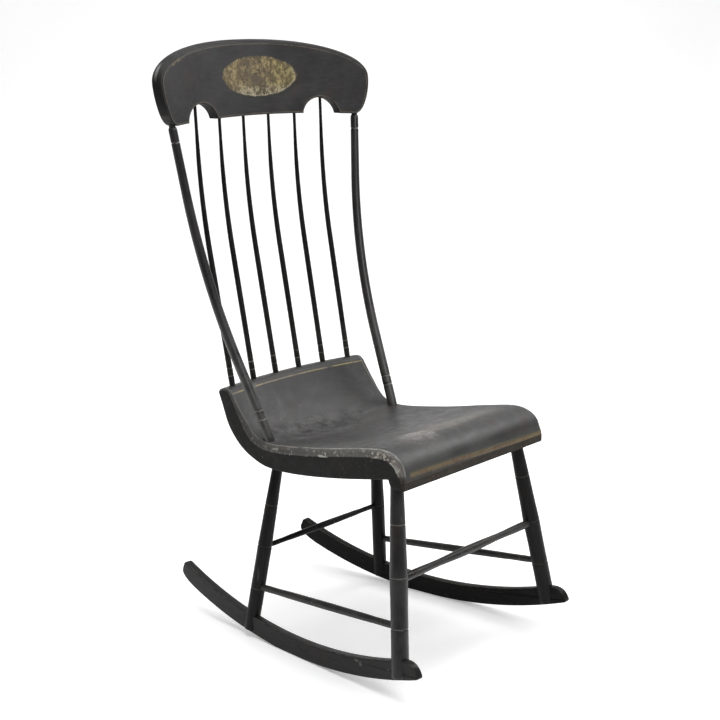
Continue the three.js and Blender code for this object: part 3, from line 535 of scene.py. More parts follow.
def make_seat():
    """The plank, the back roll and the front strip, cut from one blank with a fine gap at the seams."""
    rings, attributes, marks = seat_sections()
    vertices = [p for ring in rings for p in ring]
    blank = mesh_object("seat_blank", vertices, loft_faces(len(rings), len(rings[0])), attributes, 42)
    y, z = strip_top
    plank_top, roll_foot = [(0, ROLL_SEAM_Y, height) for height in ROLL_SEAM_HEIGHTS]
    plank_foot, strip_head = [(0, y, z - drop) for drop in STRIP_SEAM_DROPS]
    cuts = {
        "seat_plank": [(plank_top, (0, ROLL_SLOPE, 1)), (plank_foot, (0, -STRIP_SLOPE, -1))],
        "seat_back_roll": [(roll_foot, (0, -ROLL_SLOPE, -1))],
        "seat_front_roll": [(strip_head, (0, STRIP_SLOPE, 1))],
    }
    pieces = {node: cut_piece(blank, f"{node}_wood", planes) for node, planes in cuts.items()}
    bpy.data.objects.remove(blank)
    return pieces, marks


# Crest

def crest_top(x):
    rise = CREST_HEIGHT - CREST_END_HEIGHT
    share = (1 - min(1, abs(x / CREST_HALF)) ** TOP_FULLNESS) ** (1 / TOP_FULLNESS)
    return CREST_FOOT + CREST_END_HEIGHT + rise * share


def crest_bottom(x):
    flat = CREST_HALF - CREST_END_REACH
    if abs(x) > flat:
        across = min(1, (abs(x) - flat) / CREST_END_REACH)
        return CREST_FOOT + CREST_END_HEIGHT * (1 - (1 - across**END_FULLNESS) ** (1 / END_FULLNESS))
    return CREST_FOOT + max(CREST_ARCH * (1 - (x / flat) ** 2), notch_height(x) or 0)


def crest_outline():
    """Matching points of the crest's foot and top lines from left to right."""
    flat, notch = CREST_HALF - CREST_END_REACH, CREST_HALF - NOTCH_INSET
    ends = [flat + CREST_END_REACH * math.sin(a) ** (2 / END_FULLNESS) for a in np.linspace(math.pi / 2, 0, 22)]
    level = [lerp(flat, notch + NOTCH_HALF, t) for t in np.linspace(0, 1, 14)[1:-1]]
    arch = [notch + NOTCH_HALF * math.cos(a) for a in np.linspace(0, math.pi, 33)]
    middle = [lerp(notch - NOTCH_HALF, 0, t) for t in np.linspace(0, 1, 28)[1:]]
    right = ends + level + arch + middle
    xs = [-x for x in right] + list(reversed(right[:-1]))
    return np.array([(x, crest_bottom(x)) for x in xs]), np.array([(x, crest_top(x)) for x in xs])


def loop_normals(loop):
    """Inward normals at the points of a closed line, longer where it turns sharply."""
    before, after = normalized(loop - np.roll(loop, 1, 0)), normalized(np.roll(loop, -1, 0) - loop)
    mean = normalized(before + after)
    return np.stack([-mean[:, 1], mean[:, 0]], -1) / np.maximum((mean * after).sum(1), .6)[:, None]


def crest_rounds(loop):
    """How far the edge is rounded at each point, little along the foot."""
    low = loop[:, 1] < CREST_FOOT + CREST_END_HEIGHT
    reach = np.clip((np.abs(loop[:, 0]) - CREST_HALF + CREST_END_REACH) / CREST_END_REACH, 0, 1)
    return np.where(low, lerp(CREST_FOOT_ROUND, CREST_ROUND, smoothstep(reach, .35, .95)), CREST_ROUND)


def distance_to(loop, spot):
    """The distance from a point to a closed line."""
    ab = np.roll(loop, -1, 0) - loop
    t = np.clip(((spot - loop) * ab).sum(1) / np.maximum((ab * ab).sum(1), 1e-9), 0, 1)
    return float(np.linalg.norm(loop + ab * t[:, None] - spot, axis=1).min())


def make_crest(name):
    """The bent board: rounded rings round its edge, and a front and a back face between them."""
    foot, top = crest_outline()
    loop = np.vstack([foot, top[-2:0:-1]])
    count, size, rows = len(foot), len(loop), 26
    normal, rounding, half = loop_normals(loop), crest_rounds(loop), CREST_THICKNESS / 2
    quarter = [(rounding * (1 - math.cos(a)), half - rounding * (1 - math.sin(a)))
               for a in np.linspace(0, math.pi / 2, 8)]
    rings = [(sunk, -offset) for sunk, offset in reversed(quarter)] + quarter
    vertices, attributes = [], {"inset": [], "front": [], "across": [], "height": []}

    def put(x, z, offset, inset, is_front):
        vertices.append(place(crest_point(x, z, offset)))
        for values, value in zip(attributes.values(), (inset, is_front, x, z)):
            values.append(value)

    for k, (sunk, offset) in enumerate(rings):
        for (x, z), o, s, r in zip(loop + normal * sunk[:, None], offset, sunk, rounding):
            put(x, z, o, s - r, 1.0 if k < len(quarter) else 0.0)
    faces = loft_faces(len(rings), size, caps=False)
    for first, is_front in ((0, 1.0), ((len(rings) - 1) * size, 0.0)):
        sunk, offset = rings[0 if is_front else -1]
        inner = loop + normal * sunk[:, None]
        grid = []
        for i in range(1, count - 1):
            j = size - i
            column = [first + i]
            for t in np.linspace(0, 1, rows + 1)[1:-1]:
                x, z = spot = lerp(inner[i], inner[j], t)
                put(x, z, offset[i], distance_to(inner, spot), is_front)
                column.append(len(vertices) - 1)
            grid.append(column + [first + j])
        for a, b in zip(grid, grid[1:]):
            faces += [(a[k], b[k], b[k + 1], a[k + 1]) for k in range(rows)]
        for tip, column in ((first, grid[0]), (first + count - 1, grid[-1])):
            faces += [(tip, column[k], column[k + 1]) for k in range(rows)]
    return mesh_object(name, vertices, faces, attributes, 38)


# Materials

def new_node(tree, kind, inputs=(), **options):
    """A node with these options, and with a value or a linked socket at each input given."""
    node = tree.nodes.new(f"ShaderNode{kind}")
    for key, value in options.items():
        setattr(node, key, value)
    for key, value in dict(inputs).items():
        if isinstance(value, bpy.types.NodeSocket):
            tree.links.new(value, node.inputs[key])
        else:
            node.inputs[key].default_value = value
    return node


class Shader:
    """A material's node tree, with short calls for the nodes that the finishes use."""

    def __init__(self, name, shift=0):
        self.shift = shift
        self.material = bpy.data.materials.new(name)
        self.material.use_nodes = True
        self.material.node_tree.nodes.clear()
        self.coords = self.node("TexCoord", out="Object")

    def node(self, kind, inputs=(), out=0, **options):
        """One output of a new node."""
        return new_node(self.material.node_tree, kind, inputs, **options).outputs[out]

    def finish(self, **inputs):
        """Ends the tree with a Principled BSDF. Its inputs' names have _ for each space."""
        bsdf = self.node("BsdfPrincipled", {key.replace("_", " "): value for key, value in inputs.items()})
        new_node(self.material.node_tree, "OutputMaterial", {"Surface": bsdf})
        return self.material

    def attribute(self, name):
        return self.node("Attribute", out="Fac", attribute_name=name)

    def math(self, operation, *values):
        return self.node("Math", enumerate(values), operation=operation)

    def add(self, *values):
        return reduce(lambda a, b: self.math("ADD", a, b), values)

    def mul(self, *values):
        return reduce(lambda a, b: self.math("MULTIPLY", a, b), values)

    def ramp(self, *values):
        """Eases a value from between two limits to between 0 and 1, or between two others."""
        return self.node("MapRange", enumerate(values), interpolation_type="SMOOTHSTEP")

    def place_axis(self, axis):
        """How far along an axis of the chair a place lies, in millimetres."""
        return self.mul(self.node("SeparateXYZ", {0: self.coords}, axis), 1 / MM)

    def mapped(self, stretch, shift):
        shift += self.shift
        location = (shift, shift * .37, shift * .71)
        return self.node("Mapping", {"Vector": self.coords, "Location": location, "Scale": stretch})

    def noise(self, scale, detail, shift=0, stretch=(1, 1, 1), roughness=.55, distortion=0):
        inputs = {"Scale": scale, "Detail": detail, "Roughness": roughness, "Distortion": distortion}
        return self.node("TexNoise", {"Vector": self.mapped(stretch, shift), **inputs}, "Fac")

    def mix(self, factor, a, b):
        a, b = (c if isinstance(c, bpy.types.NodeSocket) else (*c, 1) for c in (a, b))
        return self.node("Mix", {0: factor, 6: a, 7: b}, 2, data_type="RGBA")

    def band(self, value, centre, width, soft=.3):
        """1 within a band of that width round the centre value, 0 outside."""
        away = self.math("ABSOLUTE", self.add(value, -centre))
        return self.ramp(away, width / 2 + soft, width / 2 - soft)

    def patch(self, centre, reach, soft=.9):
        """1 in the middle of an ellipsoid, 0 outside it. Centre and reach are in millimetres."""
        inputs = {"Vector": self.coords, "Location": place(centre), "Scale": [r * MM for r in reach]}
        spot = self.node("Mapping", inputs, vector_type="TEXTURE")
        away = self.node("VectorMath", {0: spot}, "Value", operation="LENGTH")
        return self.ramp(away, 1, 1 - soft)

    def spots(self, centre, reach, grain, low, high):
        """A patch that a grain breaks up into spots."""
        return self.ramp(self.add(self.patch(centre, reach), grain), low, high)

    def sway(self, noise, amount):
        """A noise as a shift to both sides of 0."""
        return self.mul(self.add(noise, -.5), amount)


class Paint(Shader):
    """Old satin black paint on wood: mottled, grained, rubbed through on its edges, crackled and scuffed."""

    def __init__(self, name, shift, dark=(.0085, .008, .0082), light=(.019, .0182, .018), gloss=.38, specular=.3,
                 stretch=(1, 1, .1), depth=1.0):
        super().__init__(name, shift)
        # depth scales the paint's colours; several pieces use it as painted light and shade
        dark, light = [[depth * c for c in colour] for colour in (dark, light)]
        self.broad = self.noise(11, 5)
        self.grain = self.noise(230, 4, 1, stretch, .65)
        self.fine = self.noise(950, 2, 2)
        self.blotch = self.noise(55, 5, 3, roughness=.62)
        tone = self.add(self.mul(self.broad, .55), self.mul(self.grain, .45))
        self.colour = self.mix(self.ramp(tone, .36, .66), dark, light)
        brown = self.ramp(self.noise(24, 3, 9), .52, .68)
        self.over([c * k for c, k in zip(light, (1.05, .78, .74))], brown, .6)
        self.over((.04, .035, .031), self.ramp(self.blotch, .52, .74), self.ramp(self.grain, .42, .7), .4)
        self.over((.13, .12, .105), self.ramp(self.fine, .71, .8), .3)
        cells = {"Vector": self.mapped((1, 1, 1), 0), "Scale": 140}
        crackle = self.ramp(self.node("TexVoronoi", cells, "Distance", feature="DISTANCE_TO_EDGE"), 0, .06)
        self.relief = self.add(self.mul(self.grain, .5), self.mul(self.fine, .15), self.mul(crackle, .2))
        level = self.add(self.mul(self.broad, .5), self.mul(self.blotch, .5))
        self.rough = self.ramp(level, .32, .68, gloss - .08, gloss + .14)
        self.specular = specular

    def over(self, colour, *factors):
        """Lays a colour over what is there, as much as the product of the factors says."""
        self.colour = self.mix(self.mul(*factors), self.colour, colour)

    def speckle(self, share=.6):
        """Blotches and fine grain in one."""
        return self.add(self.mul(self.blotch, share), self.mul(self.fine, 1 - share))

    def wear(self, amount, bare=(.17, .145, .12), much=.75, low=.66, high=.8):
        """Rubs the paint towards bare wood where the amount nears 1, in chips with soft grey between."""
        chips = self.ramp(self.add(self.mul(amount, .55), self.mul(self.blotch, .6)), low, high)
        self.over((.06, .055, .05), amount, self.ramp(self.grain, .3, .72), .4)
        self.over(bare, chips, much)
        self.relief = self.add(self.relief, self.mul(chips, -.5))

    def rings(self, colour=(.33, .3, .25), strength=.7, width=1.3):
        """Thin worn lines of pale paint in the turned rings."""
        line = self.band(self.attribute("ring"), 0, width, .45)
        self.over(colour, line, self.ramp(self.speckle(), .38, .6), strength)

    def scratches(self, scale, stretch, amount, colour=(.12, .115, .11)):
        lines = self.ramp(self.noise(scale, 2, 5, stretch, .4), .7, .78)
        self.over(colour, lines, amount)

    def done(self):
        relief = self.node("Bump", {"Height": self.relief, "Strength": .25, "Distance": .0002})
        return self.finish(Base_Color=self.colour, Roughness=self.rough, Specular_IOR_Level=self.specular,
                           Normal=relief)


def leg_paint(name, shift, depth, ring_strength):
    p = Paint(name, shift, depth=depth, specular=.3 * depth)
    p.rings(strength=ring_strength)
    p.scratches(90, (1, 1, .06), .2)
    return p.done()


def back_paint(name, shift, ring_strength, depth=1.0):
    """The paint of posts and spindles, with a painted reflection of the seat in grey towards their feet."""
    p = Paint(name, shift, specular=.56 * depth, gloss=.31, depth=depth)
    # painted reflection: lighter grey low down, near the seat
    p.over((.062, .06, .058), p.ramp(p.place_axis(2), 640, 430), p.ramp(p.blotch, .3, .6), .7 * depth)
    p.rings((.24, .22, .175), ring_strength, 1.7)
    p.scratches(120, (1, 1, .05), .25)
    return p.done()


def stretcher_paint(name, shift, worn, axis, depth=1.0):
    """Paint with the turning's fine streaks, for a stretcher that lies along axis 0 or 1."""
    stretch, streak = [1, 1, 1], [.15, .15, .15]
    stretch[axis], streak[axis] = .12, 1 / .12
    p = Paint(name, shift, light=(.026, .025, .024), stretch=stretch, depth=depth, specular=.3 * depth)
    p.rings(strength=.3)
    p.over((.045, .043, .041), p.ramp(p.blotch, .4, .65), worn)
    turned = p.ramp(p.noise(260, 2, 4, streak), .5, .62)
    p.over((.012, .0115, .011), turned, worn, .7)
    p.wear(p.mul(p.ramp(p.broad, .35, .7), worn), bare=(.15, .14, .125), much=.5)
    return p.done()


# Scuffs on the outer face of the left rocker: centre and reach
ROCKER_SCUFFS = [
    ((-209, -159, 43), (12, 9, 5)),
    ((-209, -168, 40), (12, 6, 8)),
    ((-212, -232, 50), (12, 4, 4)),
]


def rocker_paint(name, shift, depth):
    p = Paint(name, shift, stretch=(1, .08, 1), depth=depth, specular=.25 * depth)
    p.wear(p.ramp(p.attribute("edge"), 2.4, .6), bare=(.12, .105, .09), much=.55, low=.7, high=.84)
    p.scratches(70, (1, .12, .6), .3, (.09, .088, .085))
    p.over((.0165, .0155, .015), p.ramp(p.place_axis(1), -190, -270), p.ramp(p.blotch, .2, .6), .5)
    for centre, reach in ROCKER_SCUFFS:
        p.over((.15, .145, .14), p.spots(centre, reach, p.mul(p.fine, .6), .75, 1.0), .45)
    return p.done()


# Worn places on the seat, and last a patch of painted light in the hollow below the roll: centre, reach, colour
# and strength
SEAT_PATCHES = [
    ((-80, -178, 408), (56, 52, 40), (.36, .34, .31), .75),
    ((-90, -195, 400), (70, 55, 40), (.15, .14, .13), .5),
    ((10, -172, 405), (130, 44, 40), (.22, .2, .155), .6),
    ((100, -170, 405), (90, 40, 40), (.16, .15, .125), .4),
    ((-20, -120, 395), (150, 60, 40), (.095, .092, .088), .35),
    # painted light: the hollow below the roll made lighter
    ((-20, 78, 362), (240, 85, 50), (.115, .113, .111), .6),
]
# Bare chips on the rim of the seat's left side: centre and reach
RIM_CHIPS = [
    ((-193, -187, 391), (9, 22, 6)),
    ((-194, -228, 384), (9, 16, 12)),
    ((-187, -70, 372), (9, 30, 4)),
]


def rub_top(p):
    """Grey where people sit and on the slope below the roll, as rubbed paint and painted sheen, with worn patches
    and a patch of painted light in the hollow.
    """
    behind, before = p.ramp(p.section, p.lip + 40, p.crown + 30), p.ramp(p.section, p.crown + 300, p.crown + 60)
    # rubbed grey and painted sheen on the crown behind the lip
    p.over((.062, .06, .058), behind, before, p.on_top, p.ramp(p.broad, .25, .7), .5)
    # rubbed grey and painted sheen on the slope below the roll
    slope = p.ramp(p.section, p.roll - 150, p.roll - 70)
    p.over((.058, .056, .055), slope, p.on_top, p.ramp(p.blotch, .3, .7), .4)
    specks = p.ramp(p.noise(240, 3, 6, (1, .4, 1), .65), .42, .6, .3, 1.0)
    for centre, reach, colour, much in SEAT_PATCHES:
        spots = p.spots(centre, reach, p.mul(p.add(p.blotch, p.fine), .3), .5, 1.0)
        p.over(colour, spots, p.on_top, specks, p.ramp(p.blotch, .3, .6), much)
    p.scratches(60, (.12, 1, 1), .15, (.12, .116, .11))


def paint_side_shade(p):
    """Painted shade: dark side faces and under side, which are also made dull."""
    ragged = p.add(p.upper, p.sway(p.speckle(), 1.6))
    # painted shade on the faces that are not on the upper side
    p.over((.0042, .004, .0036), p.ramp(ragged, .45, .25), .92)
    p.rough = p.add(p.rough, p.ramp(p.upper, .6, .2, 0, .3))


def wear_rim(p):
    """The round of the rim: rubbed grey, with a thin pale line above it, worn paint and painted edge highlight,
    and chips along its lower edge.
    """
    past_lip = p.ramp(p.section, p.lip + 6, p.lip + 20)
    behind_lip = p.mul(p.on_top, past_lip)
    fades = p.ramp(p.section, p.roll - 40, p.crown + 60, .25, 1.0)
    ragged = p.add(p.rim, p.sway(p.blotch, 4))
    p.over((.118, .114, .103), p.ramp(ragged, 9, 6.5), behind_lip, p.ramp(p.blotch, .1, .5), fades, .8)
    kept = p.ramp(p.speckle(.5), .4, .55)
    # thin pale line: worn paint and painted edge highlight
    p.over((.34, .33, .3), p.band(ragged, 6.5, 2.2, 1), behind_lip, kept, fades, .75)
    bare = p.mix(p.ramp(p.noise(75, 3, 7), .4, .56), (.24, .2, .165), (.52, .5, .46))
    more_near_lip = p.mul(p.ramp(p.section, p.crown + 90, p.lip + 30), .12)
    chips = p.ramp(p.add(p.noise(140, 4, 8, roughness=.7), more_near_lip), .56, .63)
    at_edge = p.mul(p.ramp(ragged, 4.5, 1.5), p.ramp(p.upper, .1, .3), past_lip)
    p.over(bare, at_edge, chips, fades, .95)
    p.relief = p.add(p.relief, p.mul(at_edge, chips, -.6))
    for centre, reach in RIM_CHIPS:
        spots = p.spots(centre, reach, p.mul(p.noise(180, 3, 23), .9), .85, 1.05)
        p.over((.5, .48, .44), spots, p.ramp(p.fine, .3, .55, .5, 1), p.ramp(p.upper, .05, .25), .85)


def speck_sides(p):
    """Small bare specks and brown clouds on the side faces."""
    sides = p.ramp(p.upper, .3, .1)
    p.over((.22, .21, .19), sides, p.ramp(p.noise(190, 2, 29), .7, .75), .6)
    p.over((.021, .0185, .0165), sides, p.ramp(p.broad, .5, .7), .5)


def stripe_lip(p):
    """The worn red, gold and fine gold stripes of the front lip, which sink towards the right, and a painted sheen
    in grey on the lip, strongest on the left.
    """
    lip = p.lip
    start = p.add(p.rim, p.mul(p.blotch, 4), p.ramp(p.place_axis(0), 0, 40, 0, 15))
    along = p.ramp(start, 17, 21)
    # painted sheen: grey on the round of the lip, fading towards the right
    sheen_on_left = p.ramp(p.place_axis(0), 150, -60)
    p.over((.092, .09, .088), p.band(p.section, lip + 34, 26, 14), p.on_top, p.ramp(p.broad, .2, .6), sheen_on_left, .6)
    level = p.add(p.section, p.ramp(p.place_axis(0), -185, 185, 0, 6.5), p.sway(p.broad, 2.0))
    below = p.ramp(level, lip + 7.5, lip + 5.5)
    p.over((.0185, .0145, .0085), below, p.ramp(p.section, lip - 9.4, lip - 9), .88)
    red = p.ramp(p.noise(210, 4, 19, roughness=.7), .58, .68)
    p.over((.085, .048, .03), p.band(level, lip + 1, 15, 2), red, along, .9)
    whole = p.ramp(p.speckle(.55), .3, .5)
    stripe = p.mix(p.ramp(p.blotch, .4, .62), (.138, .1, .04), (.098, .06, .03))
    p.over(stripe, p.band(level, lip + 11.4, 7.4, .7), whole, along, .92)
    p.over((.064, .058, .03), p.band(level, lip + 16.4, 2.8, .7), whole, along, .75)


def line_roll(p):
    """The fine gold line of the roll, which turns down near the ends as a pale line, worn paint and painted edge
    highlight.
    """
    gold = p.mix(p.ramp(p.broad, .42, .6), (.32, .25, .1), (.24, .195, .13))
    worn = p.ramp(p.speckle(), .36, .5)
    p.over(gold, p.band(p.section, p.roll - 3.5, 2.2, .6), p.ramp(p.rim, 6.5, 8), p.upper, worn, .85)
    # the pale line down the rim: worn paint and painted edge highlight
    down = p.mul(p.ramp(p.section, p.roll - 3, p.roll - 5), p.ramp(p.section, p.roll - 95, p.roll - 20))
    p.over((.17, .15, .105), p.band(p.rim, 7.5, 1.5, .5), down, p.upper, worn, .4)


def seat_paint(name, shift, marks):
    p = Paint(name, shift, dark=(.016, .0155, .0153), light=(.034, .033, .0322), gloss=.47, specular=.38,
              stretch=(1, .3, 1))
    p.lip, p.crown, p.roll = marks
    p.upper, p.section, p.rim = (p.attribute(key) for key in ("upper", "section", "rim"))
    p.on_top = p.ramp(p.upper, .3, .8)
    for layer in (rub_top, paint_side_shade, wear_rim, speck_sides, stripe_lip, line_roll):
        layer(p)
    return p.done()


# The crest's gilt oval: centre and half sizes across and up
OVAL_CENTRE, OVAL_HALF = (7, 980.7), (95, 36)
# Places where its gilt has gone: centre, reach and strength
OVAL_WORN = [
    ((2, 275, 972), (36, 60, 20), .95),
    ((-28, 275, 985), (30, 60, 14), .6),
    ((30, 275, 985), (18, 60, 12), .7),
    ((-10, 275, 1003), (30, 60, 10), .6),
]


def crest_edge(p):
    """The rounded edge, darker as painted shade, with a thin worn line where it meets the face, a faint painted
    highlight along the round, gilt left at one end, and a painted highlight at that end.
    """
    # painted shade: the round darker than the face
    p.over((.0045, .0042, .004), p.ramp(p.inset, -.4, -2.5), .9)
    p.rough = p.add(p.rough, p.ramp(p.inset, -.4, -2.5, 0, .2))
    kept = p.ramp(p.speckle(), .36, .54)
    top_line = p.add(p.inset, p.mul(p.ramp(p.height, 985, 1005), -1.6))
    p.over((.16, .137, .1), p.band(top_line, .6, 1.6, .6), kept, p.on_front, .5)
    # painted highlight: a faint pale line along the round
    p.over((.12, .11, .1), p.band(p.inset, -3.4, 1.0, .5), kept, .3)
    gilt = p.patch((-222, 235, 1016), (46, 60, 32), .8)
    broken = p.ramp(p.noise(120, 4, 9, roughness=.7), .47, .6)
    p.over((.2, .165, .075), p.band(p.inset, 3.6, 5, 1.4), broken, p.on_front, gilt, .8)
    # painted highlight on the side of the crest's left end
    end_highlight_patch = p.patch((-258, 250, 998), (26, 60, 26), .8)
    p.over((.3, .29, .28), p.band(p.front, .35, .5, .2), end_highlight_patch, p.ramp(p.fine, .3, .6), .8)


def crest_oval(p):
    """The worn gilt oval: a brown ground with what is left of the gilt, and a broken pale and dark rim."""
    (middle, level), (wide, high) = OVAL_CENTRE, OVAL_HALF
    u, v = p.mul(p.add(p.across, -middle), 1 / wide), p.mul(p.add(p.height, -level), 1 / high)
    far = p.math("SQRT", p.add(p.mul(u, u), p.mul(v, v)))
    rough_far = p.add(far, p.sway(p.noise(70, 4, 11, roughness=.65), .16))
    inside = p.mul(p.ramp(rough_far, 1.02, .93), p.on_front)
    flakes = p.noise(140, 5, 12, (1, 1, .8), .75, .8)
    clumps = p.noise(60, 4, 13, roughness=.6)
    ochre = p.ramp(u, .1, .6)
    rosy = p.ramp(p.add(u, p.sway(clumps, 1.5)), -.15, -.65)
    ground = p.mix(ochre, (.08, .062, .036), (.112, .09, .042))
    ground = p.mix(p.mul(rosy, .7), ground, (.12, .088, .045))
    light = p.mix(ochre, (.31, .24, .12), (.34, .275, .125))
    light = p.mix(p.ramp(v, -.3, -.8), light, (.4, .35, .24))
    cover = p.ramp(p.add(p.mul(flakes, .7), p.mul(clumps, .3)), .46, .57)
    for centre, reach, much in OVAL_WORN:
        gone = p.patch(centre, reach)
        cover = p.mul(cover, p.ramp(gone, 0, 1, 1, 1 - much))
        ground = p.mix(p.mul(gone, much, .8), ground, (.092, .07, .052))
    p.over(ground, inside, .95)
    p.over(light, inside, cover, .85)
    p.over((.034, .027, .013), inside, p.ramp(p.noise(250, 3, 16, roughness=.65), .4, .33), .75)
    dashes = p.band(p.noise(150, 1, 17, (.35, 1, 1)), .52, .03, .03)
    p.over((.04, .034, .014), inside, dashes, p.ramp(u, .62, .75), .7)
    low_right = p.ramp(p.add(p.mul(u, .6), p.mul(v, -.8)), .1, .5)
    p.over((.4, .36, .26), p.band(rough_far, .945, .03, .015), p.on_front, p.ramp(flakes, .38, .5), low_right, .75)
    p.over((.016, .017, .009), p.band(rough_far, 1.07, .05, .05), p.on_front, low_right, .55)
    p.relief = p.add(p.relief, p.mul(inside, cover, .4))


def crest_paint(name, shift):
    p = Paint(name, shift, dark=(.02, .0188, .02), light=(.034, .0325, .0335), gloss=.42, specular=.28,
              stretch=(.08, 1, 1))
    p.inset, p.front, p.across, p.height = (p.attribute(key) for key in ("inset", "front", "across", "height"))
    p.on_front = p.ramp(p.front, .6, .9)
    crest_edge(p)
    p.scratches(60, (.1, 1, 1), .2, (.11, .105, .1))
    crest_oval(p)
    return p.done()


def peg_paint(name, shift):
    p = Paint(name, shift, stretch=(1, 1, 1))
    p.wear(p.ramp(p.broad, .3, .7), much=.3)
    return p.done()


# Pieces

# For the left and the right piece: how light the paint is, set as painted light and shade for how the light falls
# on each, and on the legs how strong the ring lines are
ROCKER_PAINTED_SHADE = (.7, .3)
LEG_PAINTED_LIGHT_AND_RINGS = {"front": ((1.15, .38), (.45, .16)), "rear": ((.5, .2), (.35, .12))}
# Cross stretchers: height, the legs' radius there, diameters of tenon, tip, neck and middle, ribs, wear, and how
# light the paint is, lowered as painted shade
CROSS_STRETCHERS = {
    "front": (197, 15, (9, 14, 11.8, 14.8), (.07, .085, .1, .885, .9, .915), .6, .9),
    "rear": (164.3, 12.9, (7, 9.2, 10.5, 11.6), (), .1, .3),
}
SIDE_HEIGHTS, SIDE_RADII, SIDE_SIZES = (122.6, 91.1), (14.6, 13), (9, 12.1, 12.9, 13.4)

for index, (side_name, side) in enumerate(SIDES.items()):
    node = f"rocker_{side_name}"
    finish_piece(make_rocker(f"{node}_blade", side), node, rocker_paint(node, 3 + index, ROCKER_PAINTED_SHADE[index]))
    for kind_index, (kind, leg) in enumerate(LEGS.items()):
        node = f"{kind}_leg_{side_name}"
        paint = leg_paint(node, 5 + 2 * kind_index + index, *LEG_PAINTED_LIGHT_AND_RINGS[kind][index])
        finish_piece(make_leg(f"{node}_turning", leg, side), node, paint)
    node = f"side_stretcher_{side_name}"
    ends = [leg_point(leg, side, height) for leg, height in zip(LEGS.values(), SIDE_HEIGHTS)]
    piece = make_stretcher(f"{node}_turning", ends, SIDE_RADII, SIDE_SIZES)
    finish_piece(piece, node, stretcher_paint(node, 11 + index, .45, axis=1))
    node = f"post_{side_name}"
    finish_piece(make_post(f"{node}_turning", side), node, back_paint(node, 15 + index, .55))

for kind, (height, radius, sizes, ribs, worn, depth) in CROSS_STRETCHERS.items():
    node = f"{kind}_stretcher"
    ends = [leg_point(LEGS[kind], side, height) for side in SIDES.values()]
    piece = make_stretcher(f"{node}_turning", ends, (radius, radius), sizes, ribs)
    finish_piece(piece, node, stretcher_paint(node, 19 + len(kind), worn, axis=0, depth=depth))

for index in range(6):
    node = f"spindle_{index + 1}"
    finish_piece(make_spindle(f"{node}_turning", index), node, back_paint(node, 31 + index, .7, depth=.42))

seat_pieces, seat_marks = make_seat()
for node, piece in seat_pieces.items():
    finish_piece(piece, node, seat_paint(node, 41, seat_marks))

finish_piece(make_crest("crest_rail_board"), "crest_rail", crest_paint("crest_rail", 51))

# the pegs keep their CAD solids
for index, (name, obj) in enumerate(sorted(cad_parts.items())):
    if "peg" in name:
        material = peg_paint(name, 60 + index)
        for slot in obj.material_slots:
            slot.material = material


# Stage, light and camera, in metres

STAGE_NEAR, STAGE_FAR, STAGE_CURVE, STAGE_TOP, STAGE_HALF = -1.1, 2.2, 1.6, 5.5, 3.2
PHOTO_PIXELS, FOCAL_PIXELS, SENSOR_WIDTH = 720, 1459, 36
CAMERA_PLACE, CAMERA_TURN, CAMERA_DIP, CAMERA_ROLL = (-1.8969, -1.6517, 1.0716), -48.87, 12.96, -.11


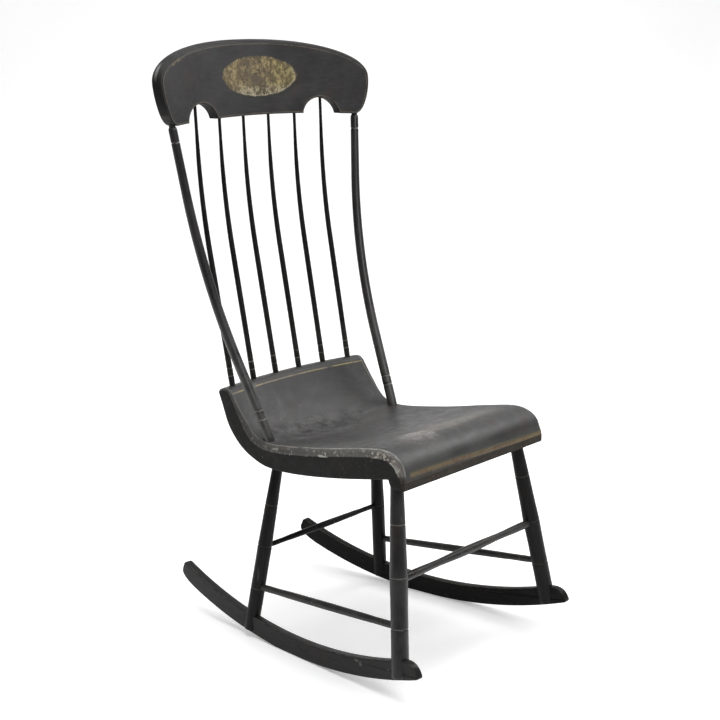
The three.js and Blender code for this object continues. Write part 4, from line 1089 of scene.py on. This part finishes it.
def stage_floor():
    """White paper on the floor that curves up behind the chair, as the camera sees it."""
    profile = [(STAGE_NEAR, 0), (STAGE_FAR, 0)]
    profile += [(STAGE_FAR + STAGE_CURVE * math.sin(a), STAGE_CURVE * (1 - math.cos(a)))
                for a in np.linspace(0, math.pi / 2, 16)[1:]]
    profile += [(STAGE_FAR + STAGE_CURVE, STAGE_TOP)]
    back = Vector((.753, .658, 0)).normalized()
    along = Vector((back.y, -back.x, 0))
    vertices = [back * d + along * w + Vector((0, 0, h)) for d, h in profile for w in (-STAGE_HALF, STAGE_HALF)]
    faces = [(2 * i, 2 * i + 1, 2 * i + 3, 2 * i + 2) for i in range(len(profile) - 1)]
    floor = mesh_object("stage_floor", vertices, faces, {}, smooth_angle=180)
    s = Shader("stage_paper")
    paper = s.mix(s.noise(3, 2), (.92, .92, .92), (.95, .95, .95))
    floor.data.materials.append(s.finish(Base_Color=paper, Roughness=.95, Specular_IOR_Level=.05,
                                         Emission_Color=(1, 1, 1, 1), Emission_Strength=.25))


def area_light(name, location, target, size, power):
    light = bpy.data.lights.new(name, "AREA")
    light.size = size
    light.energy = power
    obj = bpy.data.objects.new(name, light)
    obj.location = location
    obj.rotation_euler = (Vector(target) - Vector(location)).to_track_quat("-Z", "Y").to_euler()
    root_collection.objects.link(obj)


def studio_world(low, high):
    """Dim walls below, a bright ceiling above. Seen directly, the studio is white all round."""
    world = bpy.data.worlds.new("studio")
    world.use_nodes = True
    tree = world.node_tree
    split = new_node(tree, "SeparateXYZ", {0: new_node(tree, "TexCoord").outputs["Generated"]})
    rise = new_node(tree, "MapRange", enumerate((split.outputs[2], -.1, .9, low, high)))
    is_seen = new_node(tree, "LightPath").outputs["Is Camera Ray"]
    strength = new_node(tree, "Mix", {0: is_seen, 2: rise.outputs[0], 3: 1}).outputs[0]
    background = tree.nodes["Background"]
    background.inputs["Color"].default_value = (1, 1, 1, 1)
    tree.links.new(strength, background.inputs["Strength"])
    bpy.context.scene.world = world


def photo_camera():
    """The camera at the photo's viewing angle, fitted to the outlines of the chair in it."""
    data = bpy.data.cameras.new("camera")
    data.sensor_width = SENSOR_WIDTH
    data.lens = FOCAL_PIXELS / PHOTO_PIXELS * SENSOR_WIDTH
    camera = bpy.data.objects.new("camera", data)
    camera.location = CAMERA_PLACE
    turn = Matrix.Identity(4)
    for angle, axis in ((CAMERA_TURN, "Z"), (90 - CAMERA_DIP, "X"), (CAMERA_ROLL, "Z")):
        turn = turn @ Matrix.Rotation(math.radians(angle), 4, axis)
    camera.rotation_euler = turn.to_euler()
    root_collection.objects.link(camera)
    return camera


stage_floor()
studio_world(.15, .6)
area_light("overhead", (.2, .1, 3.1), (0, 0, .4), 2.6, 70)
area_light("front", (-.5, -2.4, 2.3), (0, 0, .5), 1.3, 24)
area_light("side", (2.3, -.7, 2.2), (0, -.2, .4), 1.2, 26)
bpy.context.scene.camera = photo_camera()
bpy.context.scene.view_settings.view_transform = "Standard"

bpy.context.view_layer.update()
